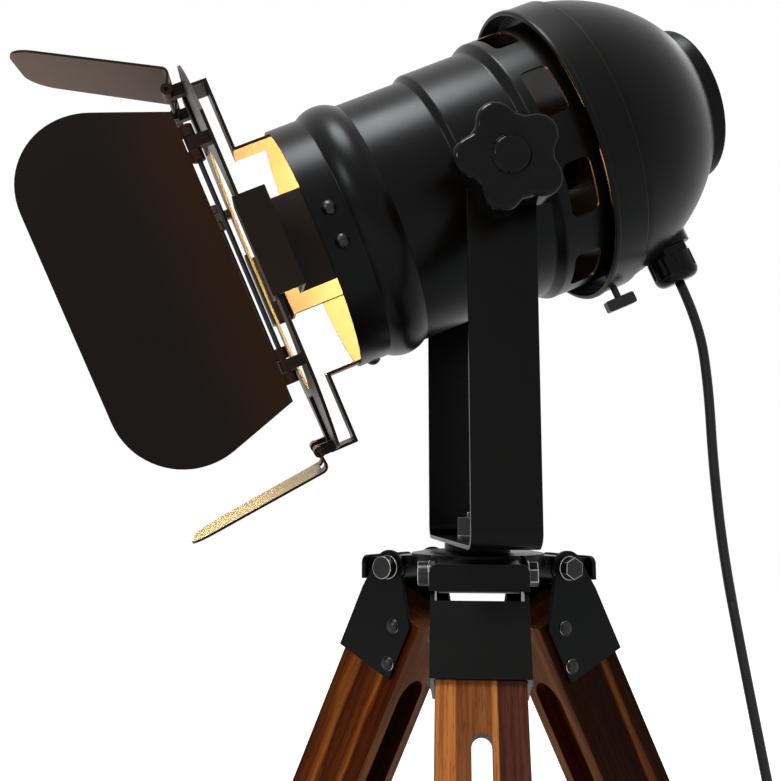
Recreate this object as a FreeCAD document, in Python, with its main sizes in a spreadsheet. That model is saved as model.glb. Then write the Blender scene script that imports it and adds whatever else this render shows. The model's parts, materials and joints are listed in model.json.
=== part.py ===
import FreeCAD, Part
import math
import os
import Sketcher
from FreeCAD import Placement, Rotation, Vector

# Tabletop searchlight on a wooden tripod, as a parametric assembly.
# Millimetres, +Z up. The origin lies on the table, under the axis that the yoke turns about,
# and the lamp head points along -X, with its nose down.

SIZES = {
    # hub and pan bolt
    "hub_top": 368.0,            # height of the hub's top above the table
    "hub_fall": 3.0,             # how much lower the hub's arms end
    "hub_thickness": 7.0,
    "hub_core_radius": 33.0,
    "apron_radius": 56.0,        # outer face of the apron at each arm's end
    "apron_sheet": 2.4,
    "apron_width": 44.0,
    "apron_drop": 14.7,          # apron's lower edge below the hub's top
    "apron_corner": 4.0,
    "pan_bolt_radius": 5.0,
    "pan_head_height": 6.4,
    "pan_hex_radius": 9.8,
    "pan_washer_radius": 16.5,
    "pan_washer_thickness": 3.5,
    "pan_nut_height": 9.0,
    "pan_nut_washer": 2.0,
    "pan_bolt_tip": 2.5,         # bolt thread above its nut
    "running_fit": 0.05,         # radial clearance of a pin in its hole
    "moving_gap": 0.3,           # between faces that pass each other
    # leg hinges
    "hinge_drop": 8.5,           # hinge axis below the hub's top
    "hinge_radius": 39.4,
    "lug_radius": 8.6,
    "lug_width": 36.6,
    "splay": 25.8,
    "front_azimuth": -99.5,
    "hinge_bolt_radius": 3.0,
    "hinge_washer_radius": 6.0,
    "hinge_washer_thickness": 1.2,
    "hinge_head_height": 4.0,
    "hinge_head_radius": 5.6,
    "hinge_nut_height": 5.0,
    # leg brackets
    "bracket_sheet": 2.0,
    "bracket_side_gap": 0.3,     # between the bracket's flanges and the wood
    "bracket_face": 10.3,        # outer face, out from the hinge axis
    "bracket_top": 16.3,         # down the leg from the hinge axis
    "bracket_bottom": 49.8,
    "bracket_flange": 34.3,      # depth of the side flanges
    "ear_radius": 8.5,
    "bracket_shoulder": 21.0,    # where the flange has its full depth
    "screw_radius": 2.0,
    "screw_head_radius": 3.9,
    "screw_head_height": 2.4,
    "screw_grip": 8.0,           # thread in the wood
    "screw_one_down": 25.0,
    "screw_one_in": 23.3,        # screw behind the wood's outer face
    "screw_two_down": 43.0,
    "screw_two_in": 28.3,
    # upper legs
    "wood_width": 38.4,
    "wood_depth": 36.0,
    "wood_edge": 1.0,            # rounding of the wood's long edges
    "wood_drop": 2.5,            # wood's top end below the bracket's upper edge
    "upper_leg_end": 262.0,      # down the leg from the hinge axis
    "groove_width": 21.0,
    "groove_wall": 10.0,         # wood left in front of the groove
    "groove_top": 52.0,
    "slot_width": 8.5,
    "slot_top": 70.5,
    "slot_bottom": 246.0,
    # lower legs, their clamps, guides and feet
    "lower_leg_top": 204.0,
    "lower_leg_lift": 11.0,      # lower leg's end above the table, along the leg
    "lower_leg_depth": 22.0,
    "clamp_down": 14.0,          # clamp screw below the lower leg's top
    "clamp_stud_radius": 3.0,
    "clamp_stud_grip": 16.0,
    "clamp_knob_radius": 14.0,
    "clamp_knob_height": 12.0,
    "clamp_boss_radius": 7.0,
    "clamp_boss_height": 2.5,
    "knob_flutes": 6,
    "guide_height": 20.0,
    "guide_sheet": 2.0,
    "guide_from_end": 1.0,
    "foot_height": 27.0,         # along the leg
    "foot_wall": 2.5,
    # yoke and tilt
    "pivot_rise": 165.5,         # tilt axis above the yoke's underside
    "yoke_width": 31.0,
    "yoke_sheet": 2.0,
    "yoke_room": 6.3,            # outer face of each arm beyond the barrel
    "yoke_bend": 8.0,
    "yoke_round": 15.0,          # rounding of the arms' ends
    "yoke_end": 15.5,            # arm's end above the tilt axis
    "tilt_stud_radius": 4.0,
    "tilt_washer_radius": 12.0,
    "tilt_washer_thickness": 1.5,
    "tilt_boss_radius": 10.0,
    "tilt_stud_grip": 4.5,
    "knob_boss_radius": 10.0,
    "knob_boss_height": 5.0,
    "knob_height": 15.0,
    "knob_lobe_centre": 16.6,
    "knob_lobe_radius": 8.4,
    "knob_core_radius": 19.4,
    "knob_lobes": 5,
    "knob_turn": 40.0,           # how far the knob happens to be turned
    "knob_cap_radius": 7.8,
    "knob_cap_height": 1.2,
    "knob_edge": 2.2,
    # head: rest tilt and the can
    "nose_down": 23.55,
    "axis_lift": 17.6,           # head axis above the tilt axis
    "can_sheet": 1.2,
    "rim_front": 84.0,
    "collar_radius": 63.5,
    "bead_front": 68.0,
    "bead_back": 48.0,
    "bead_curve": 17.0,
    "mid_step_front": 14.0,
    "mid_step_back": 11.0,
    "mid_rise": 2.5,             # barrel above the collar
    "vent_step_front": -21.0,
    "vent_step_back": -25.0,
    "vent_rise": 3.3,            # vented tail above the barrel
    "can_tail": -57.0,
    "vent_count": 9,
    "vent_front": -29.5,
    "vent_back": -43.5,
    "vent_half": 13.0,
    "vent_corner": 3.5,
    # band, dome, end cap
    "band_room": 8.1,            # band's outer face above the vented tail
    "band_sheet": 1.5,
    "band_front": -45.9,
    "band_back": -64.2,
    "band_lip": 0.7,
    "band_lip_length": 2.6,
    "web_sheet": 1.5,
    "web_bore": 8.0,
    "web_vent_radius": 3.5,
    "web_vent_circle": 44.0,
    "web_vent_count": 12,
    "dome_gap": 0.1,             # dome's skirt inside the band
    "dome_sheet": 1.5,
    "dome_skirt_back": -66.0,
    "dome_curve": 92.0,
    "dome_back": -126.0,
    "dome_end_in": 36.9,         # dome's end inside the band's radius
    "dome_lip": 10.5,            # inward lip of the dome's end
    "end_cap_in": 0.9,           # end cap inside the dome's end
    "end_cap_depth": 6.5,
    "end_cap_flare": 1.0,
    "end_cap_rim": 2.4,
    "end_cap_recess": 3.0,
    "thumb_place": -55.0,
    "thumb_stem_radius": 1.8,
    "thumb_stem_length": 5.5,    # between the band and the bar
    "thumb_bar_length": 16.0,
    "thumb_bar_height": 6.0,
    "thumb_bar_thickness": 5.0,
    "thumb_bar_corner": 1.2,
    # lamp holder and bulb
    "holder_radius": 19.5,
    "holder_length": 38.0,
    "holder_bore": 14.0,
    "holder_floor": 7.0,
    "bulb_cap_radius": 13.2,
    "bulb_cap_length": 26.0,
    "bulb_cap_cone": 3.0,
    "bulb_contact_radius": 8.2,
    "bulb_neck_radius": 15.5,
    "bulb_neck_length": 12.0,
    "bulb_cap_lap": 0.4,         # glass inside the cap's rim
    "bulb_radius": 30.0,
    "bulb_length": 78.0,
    "bulb_wall": 1.0,
    # cable gland
    "gland_place": -89.5,
    "gland_seat_radius": 13.5,
    "gland_seat_in": 7.9,        # gland's seat inside the band's radius
    "gland_boss_height": 11.0,
    "gland_flange_radius": 12.7,
    "gland_flange_height": 4.5,
    "gland_thread_radius": 7.5,
    "gland_nut_radius": 11.6,
    "gland_nut_height": 14.5,
    "gland_nut_round": 5.0,
    # accessory clips and door frame
    "clip_sheet": 1.5,
    "clip_tail": 70.0,
    "clip_tail_depth": 10.0,
    "clip_rear": 100.5,
    "clip_front": 115.0,
    "clip_narrow": 22.0,
    "clip_wide": 44.0,
    "clip_reach": 34.5,          # outer face of the top and bottom clips from the collar
    "clip_side_reach": 26.5,     # outer face of the side clips from the collar
    "clip_lip_rise": 4.5,        # inner end of each clip's front wall from the collar
    "clip_screw_place": 76.0,
    "clip_screw_head": 3.6,
    "clip_screw_height": 2.2,
    "clip_screw_spread": 8.0,    # half distance of the two screws of a side clip
    "frame_sheet": 1.5,
    "frame_room": 0.5,           # frame's opening outside the collar
    "frame_corner": 36.0,
    "front_turn": 8.0,           # clips and frame turned about the beam, near side down
    "hinge_place": 121.0,        # barn-door hinge axes along the head
    "hinge_in": 4.0,             # top and bottom hinge axes inside the clips' faces
    "hinge_side_in": 9.0,        # side hinge axes inside the clips' faces
    "hinge_pin_radius": 1.1,
    "knuckle_radius": 2.8,
    "knuckle_length": 5.0,
    "knuckle_gap": 0.4,
    "side_knuckle": 50.0,        # middle of a frame knuckle from the hinge's middle
    "end_knuckle": 18.5,
    # barn-door leaves
    "leaf_sheet": 1.2,
    "side_leaf_length": 78.0,
    "side_leaf_root": 65.0,      # half width at the hinge
    "side_leaf_end": 87.6,       # half width at the outer edge, before rounding
    "side_leaf_corner": 44.0,
    "side_leaf_flare": 7.5,
    "end_leaf_length": 76.0,
    "end_leaf_root": 27.0,
    "end_leaf_end": 24.0,
    "end_leaf_corner": 14.0,
    "end_leaf_step": 9.5,        # stand-off between the hinge and the leaf
    "end_leaf_bend": 3.0,
    "end_leaf_notch": 0.8,       # room beside the clip that the leaf folds back over
    "end_leaf_relief": 6.0,      # cut over each frame knuckle, up from the hinge axis
    "top_leaf_flare": 28.0,
    "bottom_leaf_flare": 6.0,
    # cord, switch, plug
    "cord_radius": 2.5,
    "switch_length": 62.0,
    "switch_width": 22.0,
    "switch_height": 14.0,
    "switch_corner": 6.0,
    "rocker_length": 15.0,
    "rocker_width": 9.0,
    "rocker_pin_radius": 1.0,
    "coil_radius": 29.0,
    "coil_hole": 19.0,
    "coil_height": 15.0,
    "coil_turn": 26.5,           # middle of the turn that the leads run on in
    "coil_lead": 23.0,
    "cord_level": 7.0,           # of the cord in the switch and the plug
    "plug_length": 36.0,
    "plug_width": 35.0,
    "plug_height": 14.0,
    "plug_corner": 2.0,
    "plug_nose": 16.0,
    "plug_tail_width": 14.0,
    "plug_pin_radius": 2.0,
    "plug_pin_length": 19.0,
    "plug_pin_half": 9.3,
}


class Size:
    """A sheet cell, or a sum of cells: its value and the expression that gives it."""

    def __init__(self, value, text):
        self.value, self.text = float(value), text

    def __float__(self):
        return self.value

    def __neg__(self):
        return Size(-self.value, "(0 - %s)" % self.text)

    def __add__(self, other):
        other = as_size(other)
        return Size(self.value + other.value, "(%s + %s)" % (self.text, other.text))

    def __sub__(self, other):
        other = as_size(other)
        return Size(self.value - other.value, "(%s - %s)" % (self.text, other.text))

    def __mul__(self, other):
        other = as_size(other)
        return Size(self.value * other.value, "(%s * %s)" % (self.text, other.text))

    def __truediv__(self, other):
        other = as_size(other)
        return Size(self.value / other.value, "(%s / %s)" % (self.text, other.text))

    def __radd__(self, other):
        return as_size(other) + self

    def __rsub__(self, other):
        return as_size(other) - self

    __rmul__ = __mul__


def as_size(value):
    return value if isinstance(value, Size) else Size(value, repr(float(value)))


doc = FreeCAD.newDocument("Searchlight")
sheet = doc.addObject("Spreadsheet::Sheet", "Dims")
for row, (name, value) in enumerate(SIZES.items(), start=1):
    sheet.set("A%d" % row, name)
    sheet.set("B%d" % row, str(value))
    sheet.setAlias("B%d" % row, name)
doc.recompute()


class Dims:
    """The sheet's cells, by their aliases."""

    def __getattr__(self, name):
        return Size(getattr(sheet, name), "Dims." + name)


d = Dims()
mid_radius = d.collar_radius + d.mid_rise
vent_radius = mid_radius + d.vent_rise
band_radius = vent_radius + d.band_room
yoke_half = mid_radius + d.yoke_room
clip_high = d.collar_radius + d.clip_reach
clip_broad = d.collar_radius + d.clip_side_reach
hinge_high = clip_high - d.hinge_in
hinge_side = clip_broad - d.hinge_side_in
gland_seat_down = band_radius - d.gland_seat_in
splay_sine = Size(math.sin(math.radians(sheet.splay)), "sin(Dims.splay * 1 deg)")
splay_cosine = Size(math.cos(math.radians(sheet.splay)), "cos(Dims.splay * 1 deg)")
NODES = {}
ORIGIN = Vector(0, 0, 0)
X, Y, Z = Vector(1, 0, 0), Vector(0, 1, 0), Vector(0, 0, 1)


# ---- helpers ----

def bind(thing, name, value):
    """Give a property its value, through the sheet where the value comes from there."""
    if isinstance(value, Size):
        thing.setExpression(name, value.text)
    else:
        setattr(thing, name, value)


def node(label, thing, place=None):
    """Register a finished piece under its node name."""
    thing.Label = label
    if place is not None:
        thing.Placement = place
    NODES[label] = thing
    return thing


def new_body(name):
    return doc.addObject("PartDesign::Body", name)


def origin_part(body, role):
    return next(part for part in body.Origin.OriginFeatures if part.Role == role)


def arc_middle(start, end, radius):
    """The middle of an arc; a positive radius turns left on the way from start to end."""
    chord = end - start
    half = chord.Length / 2
    left = Vector(-chord.y, chord.x, 0).normalize()
    turn = 1 if radius > 0 else -1
    size = abs(radius)
    rise = size - math.sqrt(max(size * size - half * half, 0))
    return (start + end) * 0.5 - left * (turn * rise)


def pin_point(drawing, geometry, end, x, y):
    """Fix a sketch point at (x, y) with two dimensions from the sketch's origin."""
    for kind, axis, value in (("DistanceX", -2, x), ("DistanceY", -1, y)):
        value = as_size(value)
        if value.text == "0.0":
            drawing.addConstraint(Sketcher.Constraint("PointOnObject", geometry, end, axis))
            continue
        index = drawing.addConstraint(
            Sketcher.Constraint(kind, -1, 1, geometry, end, value.value))
        drawing.setExpression("Constraints[%d]" % index, value.text)


def draw_outline(drawing, points):
    """A closed outline. A point's third value is the radius of the edge that starts there."""
    flat = [Vector(float(point[0]), float(point[1]), 0) for point in points]
    edges = []
    for index, point in enumerate(points):
        start, end = flat[index], flat[(index + 1) % len(flat)]
        if len(point) == 3:
            middle = arc_middle(start, end, float(point[2]))
            edge = drawing.addGeometry(Part.Arc(start, middle, end))
        else:
            edge = drawing.addGeometry(Part.LineSegment(start, end))
        ends = (1, 2) if drawing.getPoint(edge, 1).distanceToPoint(start) < 1e-6 else (2, 1)
        edges.append((edge, ends[0], ends[1]))
    for index, point in enumerate(points):
        edge, first, last = edges[index]
        following, their_first, _ = edges[(index + 1) % len(edges)]
        drawing.addConstraint(Sketcher.Constraint("Coincident", edge, last, following, their_first))
        pin_point(drawing, edge, first, point[0], point[1])
        if len(point) == 3:
            close_arc(drawing, edge, point, points[(index + 1) % len(points)])


def close_arc(drawing, edge, point, following):
    """Fix an arc between two fixed points: by its radius, or its centre if a half circle."""
    radius = as_size(point[2])
    start = Vector(float(point[0]), float(point[1]), 0)
    end = Vector(float(following[0]), float(following[1]), 0)
    chord = end - start
    if abs(radius.value) > chord.Length / 2 * 1.0005:
        size = radius if radius.value > 0 else -radius
        index = drawing.addConstraint(Sketcher.Constraint("Radius", edge, size.value))
        drawing.setExpression("Constraints[%d]" % index, size.text)
        return
    across = 0 if abs(chord.y) > abs(chord.x) else 1
    middle = (as_size(point[across]) + as_size(following[across])) / 2
    kind = ("DistanceX", "DistanceY")[across]
    index = drawing.addConstraint(Sketcher.Constraint(kind, -1, 1, edge, 3, middle.value))
    drawing.setExpression("Constraints[%d]" % index, middle.text)


def sketch(body, plane, outlines=(), circles=(), offset=None):
    """A sketch on one of the body's own planes, moved along the plane's normal."""
    drawing = body.newObject("Sketcher::SketchObject", "Sketch")
    drawing.AttachmentSupport = (origin_part(body, plane), [""])
    drawing.MapMode = "FlatFace"
    if offset is not None:
        offset = as_size(offset)
        drawing.AttachmentOffset = Placement(Vector(0, 0, offset.value), Rotation())
        drawing.setExpression("AttachmentOffset.Base.z", offset.text)
    for points in outlines:
        draw_outline(drawing, points)
    for x, y, radius in circles:
        centre = Vector(float(x), float(y), 0)
        edge = drawing.addGeometry(Part.Circle(centre, Z, float(radius)))
        pin_point(drawing, edge, 3, x, y)
        radius = as_size(radius)
        index = drawing.addConstraint(Sketcher.Constraint("Radius", edge, radius.value))
        drawing.setExpression("Constraints[%d]" % index, radius.text)
    return drawing


def rectangle(x0, x1, y0, y1):
    return [(x0, y0), (x1, y0), (x1, y1), (x0, y1)]


def rounded(x0, x1, y0, y1, radius):
    """A rectangle with four round corners."""
    return [(x0 + radius, y0), (x1 - radius, y0, radius), (x1, y0 + radius),
            (x1, y1 - radius, radius), (x1 - radius, y1), (x0 + radius, y1, radius),
            (x0, y1 - radius), (x0, y0 + radius, radius)]


def feature(body, kind, drawing, length=None, both_ways=False, reverse=False):
    made = body.newObject("PartDesign::" + kind, kind)
    made.Profile = drawing
    if length is None:
        made.Type = "ThroughAll"
    else:
        bind(made, "Length", as_size(length))
    if both_ways:
        made.SideType = "Symmetric"
    made.Reversed = reverse
    drawing.Visibility = False
    return made


def pad(body, drawing, length, both_ways=False, reverse=False):
    return feature(body, "Pad", drawing, length, both_ways, reverse)


def pocket(body, drawing, length=None, both_ways=False, reverse=False):
    return feature(body, "Pocket", drawing, length, both_ways, reverse)


def turn(body, kind, drawing, axis, angle=360.0, both_ways=False):
    """A Revolution or Groove of a sketch about one of the body's own axes."""
    made = body.newObject("PartDesign::" + kind, kind)
    made.Profile = drawing
    made.ReferenceAxis = (origin_part(body, axis), [""])
    bind(made, "Angle", angle)
    if both_ways:
        made.Midplane = True
    drawing.Visibility = False
    return made


def around(body, originals, axis, count, angle=360.0):
    made = body.newObject("PartDesign::PolarPattern", "PolarPattern")
    made.Originals = originals
    made.Axis = (origin_part(body, axis), [""])
    made.Angle = angle
    bind(made, "Occurrences", count)
    body.Tip = made
    return made


def mirror(body, originals, plane):
    made = body.newObject("PartDesign::Mirrored", "Mirrored")
    made.Originals = originals
    made.MirrorPlane = (origin_part(body, plane), [""])
    body.Tip = made
    return made


def ease(body, kind, size, choose):
    """Fillet or chamfer the edges of the body's tip that the test picks."""
    doc.recompute()
    base = body.Tip
    names = ["Edge%d" % (index + 1) for index, edge in enumerate(base.Shape.Edges) if choose(edge)]
    made = body.newObject("PartDesign::" + kind, kind)
    made.Base = (base, names)
    bind(made, "Radius" if kind == "Fillet" else "Size", as_size(size))
    return made


def parallel(edge, direction):
    """Whether a straight edge runs along a direction."""
    if edge.Curve.TypeId != "Part::GeomLine":
        return False
    return abs(abs(edge.Curve.Direction.dot(direction)) - 1) < 1e-6


def cylinder(radius, height, place, kind="Part::Cylinder"):
    made = doc.addObject(kind, kind.split(":")[-1])
    bind(made, "Radius", as_size(radius))
    bind(made, "Height", as_size(height))
    made.Placement = place
    return made


def prism(radius, height, place, sides=6):
    made = doc.addObject("Part::Prism", "Prism")
    made.Polygon = sides
    bind(made, "Circumradius", as_size(radius))
    bind(made, "Height", as_size(height))
    made.Placement = place
    return made


def ball_end(radius, height, place):
    """A low domed head: the common part of a ball and a cylinder of the same rim."""
    rim, rise = float(radius), float(height)
    ball = (rim * rim + rise * rise) / (2 * rise)
    head = doc.addObject("Part::Feature", "Dome")
    whole = Part.makeSphere(ball, Vector(0, 0, rise - ball), Z)
    head.Shape = whole.common(Part.makeCylinder(rim, rise))
    head.Placement = place
    return head


def fuse(shapes, name="Fusion"):
    made = doc.addObject("Part::MultiFuse", name)
    made.Shapes = shapes
    return made


def cut(base, tool, name="Cut"):
    made = doc.addObject("Part::Cut", name)
    made.Base, made.Tool = base, tool
    return made


def group(shapes, name):
    made = doc.addObject("Part::Compound", name)
    made.Links = shapes
    return made


def along(direction, x=0, y=0, z=0):
    """A placement whose own Z axis points along a direction."""
    return Placement(Vector(float(x), float(y), float(z)), Rotation(Z, direction))


# ---- frames of the moving parts ----

hinge_height = d.hub_top - d.hinge_drop
yoke_base = d.hub_top + d.pan_washer_thickness
pivot_height = yoke_base + d.pivot_rise
LEGS = {"front": 0, "right": 1, "left": 2}


def hub_frame():
    return Placement(ORIGIN, Rotation(Z, float(d.front_azimuth)))


def leg_frame(index):
    """X out of the leg's face, Y across the leg, Z up along it, zero on the hinge axis."""
    spread = Placement(Vector(float(d.hinge_radius), 0, float(hinge_height)),
                       Rotation(Y, -float(d.splay)))
    return Placement(ORIGIN, Rotation(Z, float(d.front_azimuth) + 120 * index)) * spread


def head_frame():
    """X forward along the head's axis, Y to the near side, Z up, zero beside the tilt axis."""
    tilted = Rotation(Y, -float(d.nose_down)) * Rotation(Z, 180)
    lift = tilted.multVec(Vector(0, 0, float(d.axis_lift)))
    return Placement(Vector(0, 0, float(pivot_height)) + lift, tilted)


HEAD = head_frame()
FRONT = HEAD * Placement(ORIGIN, Rotation(X, -float(d.front_turn)))


# ---- hub and pan bolt ----

def make_hub():
    body = new_body("Hub")
    top, floor = d.hub_top, d.hub_top - d.hub_thickness
    arm_end = d.hub_top - d.hub_fall
    inner = d.apron_radius - d.apron_sheet
    apron_bottom = d.hub_top - d.apron_drop
    core = [(0.0, floor), (d.hub_core_radius, floor), (d.hub_core_radius, top - 1.0),
            (d.hub_core_radius - 6.0, top), (0.0, top)]
    turn(body, "Revolution", sketch(body, "XZ_Plane", [core]), "Z_Axis")
    lug_out, lug_in = d.hinge_radius + d.lug_radius, d.hinge_radius - d.lug_radius
    arm = [(0.0, floor), (lug_in, floor), (lug_in, hinge_height, d.lug_radius),
           (lug_out, hinge_height), (lug_out, floor), (inner, floor),
           (inner, arm_end - 1.0), (0.0, top - 0.6)]
    arm_pad = pad(body, sketch(body, "XZ_Plane", [arm]), d.lug_width, both_ways=True)
    apron = rectangle(inner, d.apron_radius, apron_bottom, arm_end)
    apron_pad = pad(body, sketch(body, "XZ_Plane", [apron]), d.apron_width, both_ways=True)
    around(body, [arm_pad, apron_pad], "Z_Axis", 3)
    pin = sketch(body, "XZ_Plane", circles=[(d.hinge_radius, hinge_height,
                                             d.hinge_bolt_radius + d.running_fit)])
    around(body, [pocket(body, pin, both_ways=True, length=d.apron_width)], "Z_Axis", 3)
    bore = sketch(body, "XY_Plane", circles=[(0.0, 0.0, d.pan_bolt_radius + d.running_fit)],
                  offset=top)
    pocket(body, bore)
    outside = float(d.apron_radius - d.apron_sheet)

    def corner(edge):
        middle = edge.CenterOfMass
        return abs(edge.Length - float(d.apron_sheet)) < 0.01 and \
            middle.z > float(arm_end) - 0.01 and math.hypot(middle.x, middle.y) > outside

    ease(body, "Fillet", d.apron_corner, corner)
    return node("hub", body, hub_frame())


def make_pan_parts():
    under = d.hub_top - d.hub_thickness
    head = prism(d.pan_hex_radius, d.pan_head_height, along(Z, z=under - d.pan_head_height))
    nut_seat = yoke_base + d.yoke_sheet + d.pan_nut_washer
    shank_length = nut_seat + d.pan_nut_height + d.pan_bolt_tip - under
    shank = cylinder(d.pan_bolt_radius, shank_length, along(Z, z=under))
    node("pan_bolt", fuse([head, shank]))
    body = new_body("PanWasher")
    ring = sketch(body, "XY_Plane", circles=[(0.0, 0.0, d.pan_washer_radius),
                                             (0.0, 0.0, d.pan_bolt_radius + d.running_fit)],
                  offset=d.hub_top)
    pad(body, ring, d.pan_washer_thickness)
    node("pan_washer", body)
    outer = fuse([prism(d.pan_hex_radius, d.pan_nut_height, along(Z, z=nut_seat)),
                  cylinder(d.pan_hex_radius, d.pan_nut_washer,
                           along(Z, z=nut_seat - d.pan_nut_washer))])
    hole = cylinder(d.pan_bolt_radius + d.running_fit, d.pan_nut_height + d.pan_nut_washer,
                    along(Z, z=nut_seat - d.pan_nut_washer))
    node("pan_nut", cut(outer, hole))


def make_hinge_fasteners():
    """One bolt, one domed nut and two washers for each leg hinge."""
    half = d.wood_width / 2 + d.bracket_side_gap + d.bracket_sheet
    seat = half + d.hinge_washer_thickness
    pieces = []
    for name, index in LEGS.items():
        hinge = leg_frame(index)
        side = 1 if name == "front" else -1
        start, finish = (Y, -Y) if side > 0 else (-Y, Y)
        head = prism(d.hinge_head_radius, d.hinge_head_height, along(start, y=side * float(seat)))
        shank = cylinder(d.hinge_bolt_radius, seat * 2 + d.hinge_nut_height / 2,
                         along(finish, y=side * float(seat)))
        bolt = fuse([head, shank])
        nut_body = cylinder(d.hinge_head_radius, d.hinge_nut_height,
                            along(finish, y=-side * float(seat)))
        nut_hole = cylinder(d.hinge_bolt_radius + d.running_fit, d.hinge_nut_height / 2 + 0.2,
                            along(finish, y=-side * float(seat)))
        nut = cut(nut_body, nut_hole)
        washers = []
        for way in (1, -1):
            disc = cylinder(d.hinge_washer_radius, d.hinge_washer_thickness,
                            along(Y * way, y=way * float(half)))
            hole = cylinder(d.hinge_bolt_radius + d.running_fit, d.hinge_washer_thickness,
                            along(Y * way, y=way * float(half)))
            washers.append(cut(disc, hole))
        leg = group([bolt, nut] + washers, "HingeFasteners")
        leg.Placement = hinge
        pieces.append(leg)
    node("leg_hinge_fasteners", group(pieces, "AllHingeFasteners"))


# ---- legs ----

wood_face = d.bracket_face - d.bracket_sheet
wood_back = wood_face - d.wood_depth
wood_top = d.bracket_top + d.wood_drop
groove_floor = wood_face - d.groove_wall
flange_out = d.wood_width / 2 + d.bracket_side_gap + d.bracket_sheet
screw_hole = d.screw_radius + d.running_fit
bracket_screws = [(wood_face - d.screw_one_in, d.screw_one_down),
                  (wood_face - d.screw_two_in, d.screw_two_down)]
guide_middle = d.upper_leg_end - d.guide_from_end - d.guide_height / 2
guide_screws = [(wood_face - d.groove_wall, guide_middle),
                (wood_back + d.screw_grip, guide_middle)]


def side_holes(body, places, length=None):
    """Screw holes across both sides of a leg piece, right through."""
    circles = [(x, -down, screw_hole) for x, down in places]
    return pocket(body, sketch(body, "XZ_Plane", circles=circles),
                  length=flange_out * 4, both_ways=True)


def make_leg_bracket(side, index):
    body = new_body("LegBracket_" + side)
    back = d.bracket_face - d.bracket_flange
    flange = [(-d.ear_radius, 0.0), (back, -d.bracket_shoulder), (back, -d.bracket_bottom),
              (d.bracket_face, -d.bracket_bottom), (d.bracket_face, -d.bracket_top),
              (d.ear_radius, 0.0, d.ear_radius)]
    pad(body, sketch(body, "XZ_Plane", [flange]), flange_out * 2, both_ways=True)
    beyond = d.bracket_bottom + d.ear_radius
    hollow = [(back - 5.0, d.ear_radius * 2), (back - 5.0, -beyond), (wood_face, -beyond),
              (wood_face, -d.bracket_top), (d.bracket_face * 2, -d.bracket_top),
              (d.bracket_face * 2, d.ear_radius * 2)]
    inside = d.wood_width + d.bracket_side_gap * 2
    pocket(body, sketch(body, "XZ_Plane", [hollow]), length=inside, both_ways=True)
    pin = sketch(body, "XZ_Plane",
                 circles=[(0.0, 0.0, d.hinge_bolt_radius + d.running_fit)])
    pocket(body, pin, length=flange_out * 4, both_ways=True)
    side_holes(body, bracket_screws)
    return node("leg_bracket_" + side, body, leg_frame(index))


def make_upper_leg(side, index):
    body = new_body("UpperLeg_" + side)
    half = d.wood_width / 2
    section = sketch(body, "XY_Plane", [rectangle(wood_back, wood_face, -half, half)],
                     offset=-wood_top)
    pad(body, section, d.upper_leg_end - wood_top, reverse=True)
    ease(body, "Fillet", d.wood_edge, lambda edge: parallel(edge, Z))
    groove_half = d.groove_width / 2
    groove = [(-groove_half, -(d.upper_leg_end + 1.0)), (groove_half, -(d.upper_leg_end + 1.0)),
              (groove_half, -(d.groove_top + groove_half), groove_half),
              (-groove_half, -(d.groove_top + groove_half))]
    pocket(body, sketch(body, "YZ_Plane", [groove], offset=groove_floor))
    slot_half = d.slot_width / 2
    slot = [(-slot_half, -(d.slot_bottom - slot_half), slot_half),
            (slot_half, -(d.slot_bottom - slot_half)),
            (slot_half, -(d.slot_top + slot_half), slot_half),
            (-slot_half, -(d.slot_top + slot_half))]
    pocket(body, sketch(body, "YZ_Plane", [slot], offset=groove_floor), reverse=True)
    holes = [(x, -down, screw_hole) for x, down in bracket_screws + guide_screws]
    drilled = pocket(body, sketch(body, "XZ_Plane", circles=holes, offset=half),
                     length=d.screw_grip + 0.5)
    mirror(body, [drilled], "XZ_Plane")
    return node("upper_leg_" + side, body, leg_frame(index))


def make_leg_guide(side, index):
    """Sheet-steel guide that closes the groove at the upper leg's lower end."""
    body = new_body("LegGuide_" + side)
    low = -(guide_middle + d.guide_height / 2)
    inside = d.wood_width / 2 + d.bracket_side_gap
    outside = inside + d.guide_sheet
    back = wood_back - d.guide_sheet
    front = wood_face - d.wood_edge
    section = [(back, -outside), (front, -outside), (front, -inside), (wood_back, -inside),
               (wood_back, inside), (front, inside), (front, outside), (back, outside)]
    pad(body, sketch(body, "XY_Plane", [section], offset=low), d.guide_height)
    side_holes(body, guide_screws)
    return node("leg_guide_" + side, body, leg_frame(index))


def make_leg_screws(side, index):
    """Side screws of the leg's bracket and guide."""
    pieces = []
    grip = d.screw_grip + d.bracket_sheet + d.bracket_side_gap
    for x, down in bracket_screws + guide_screws:
        for way in (1, -1):
            seat = way * float(flange_out)
            head = ball_end(d.screw_head_radius, d.screw_head_height,
                            along(Y * way, x=x, y=seat, z=-down))
            shank = cylinder(d.screw_radius, grip, along(Y * -way, x=x, y=seat, z=-down))
            pieces.append(fuse([head, shank]))
    return node("leg_screws_" + side, group(pieces, "LegScrews_" + side), leg_frame(index))


lower_face = groove_floor - d.moving_gap
lower_back = lower_face - d.lower_leg_depth
lower_middle = (lower_face + lower_back) / 2
table_down = (hinge_height + lower_middle * splay_sine) / splay_cosine
foot_top = table_down - d.foot_height
lower_leg_end = table_down - d.lower_leg_lift
lower_half = d.groove_width / 2 - d.moving_gap
clamp_place = d.lower_leg_top + d.clamp_down


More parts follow.
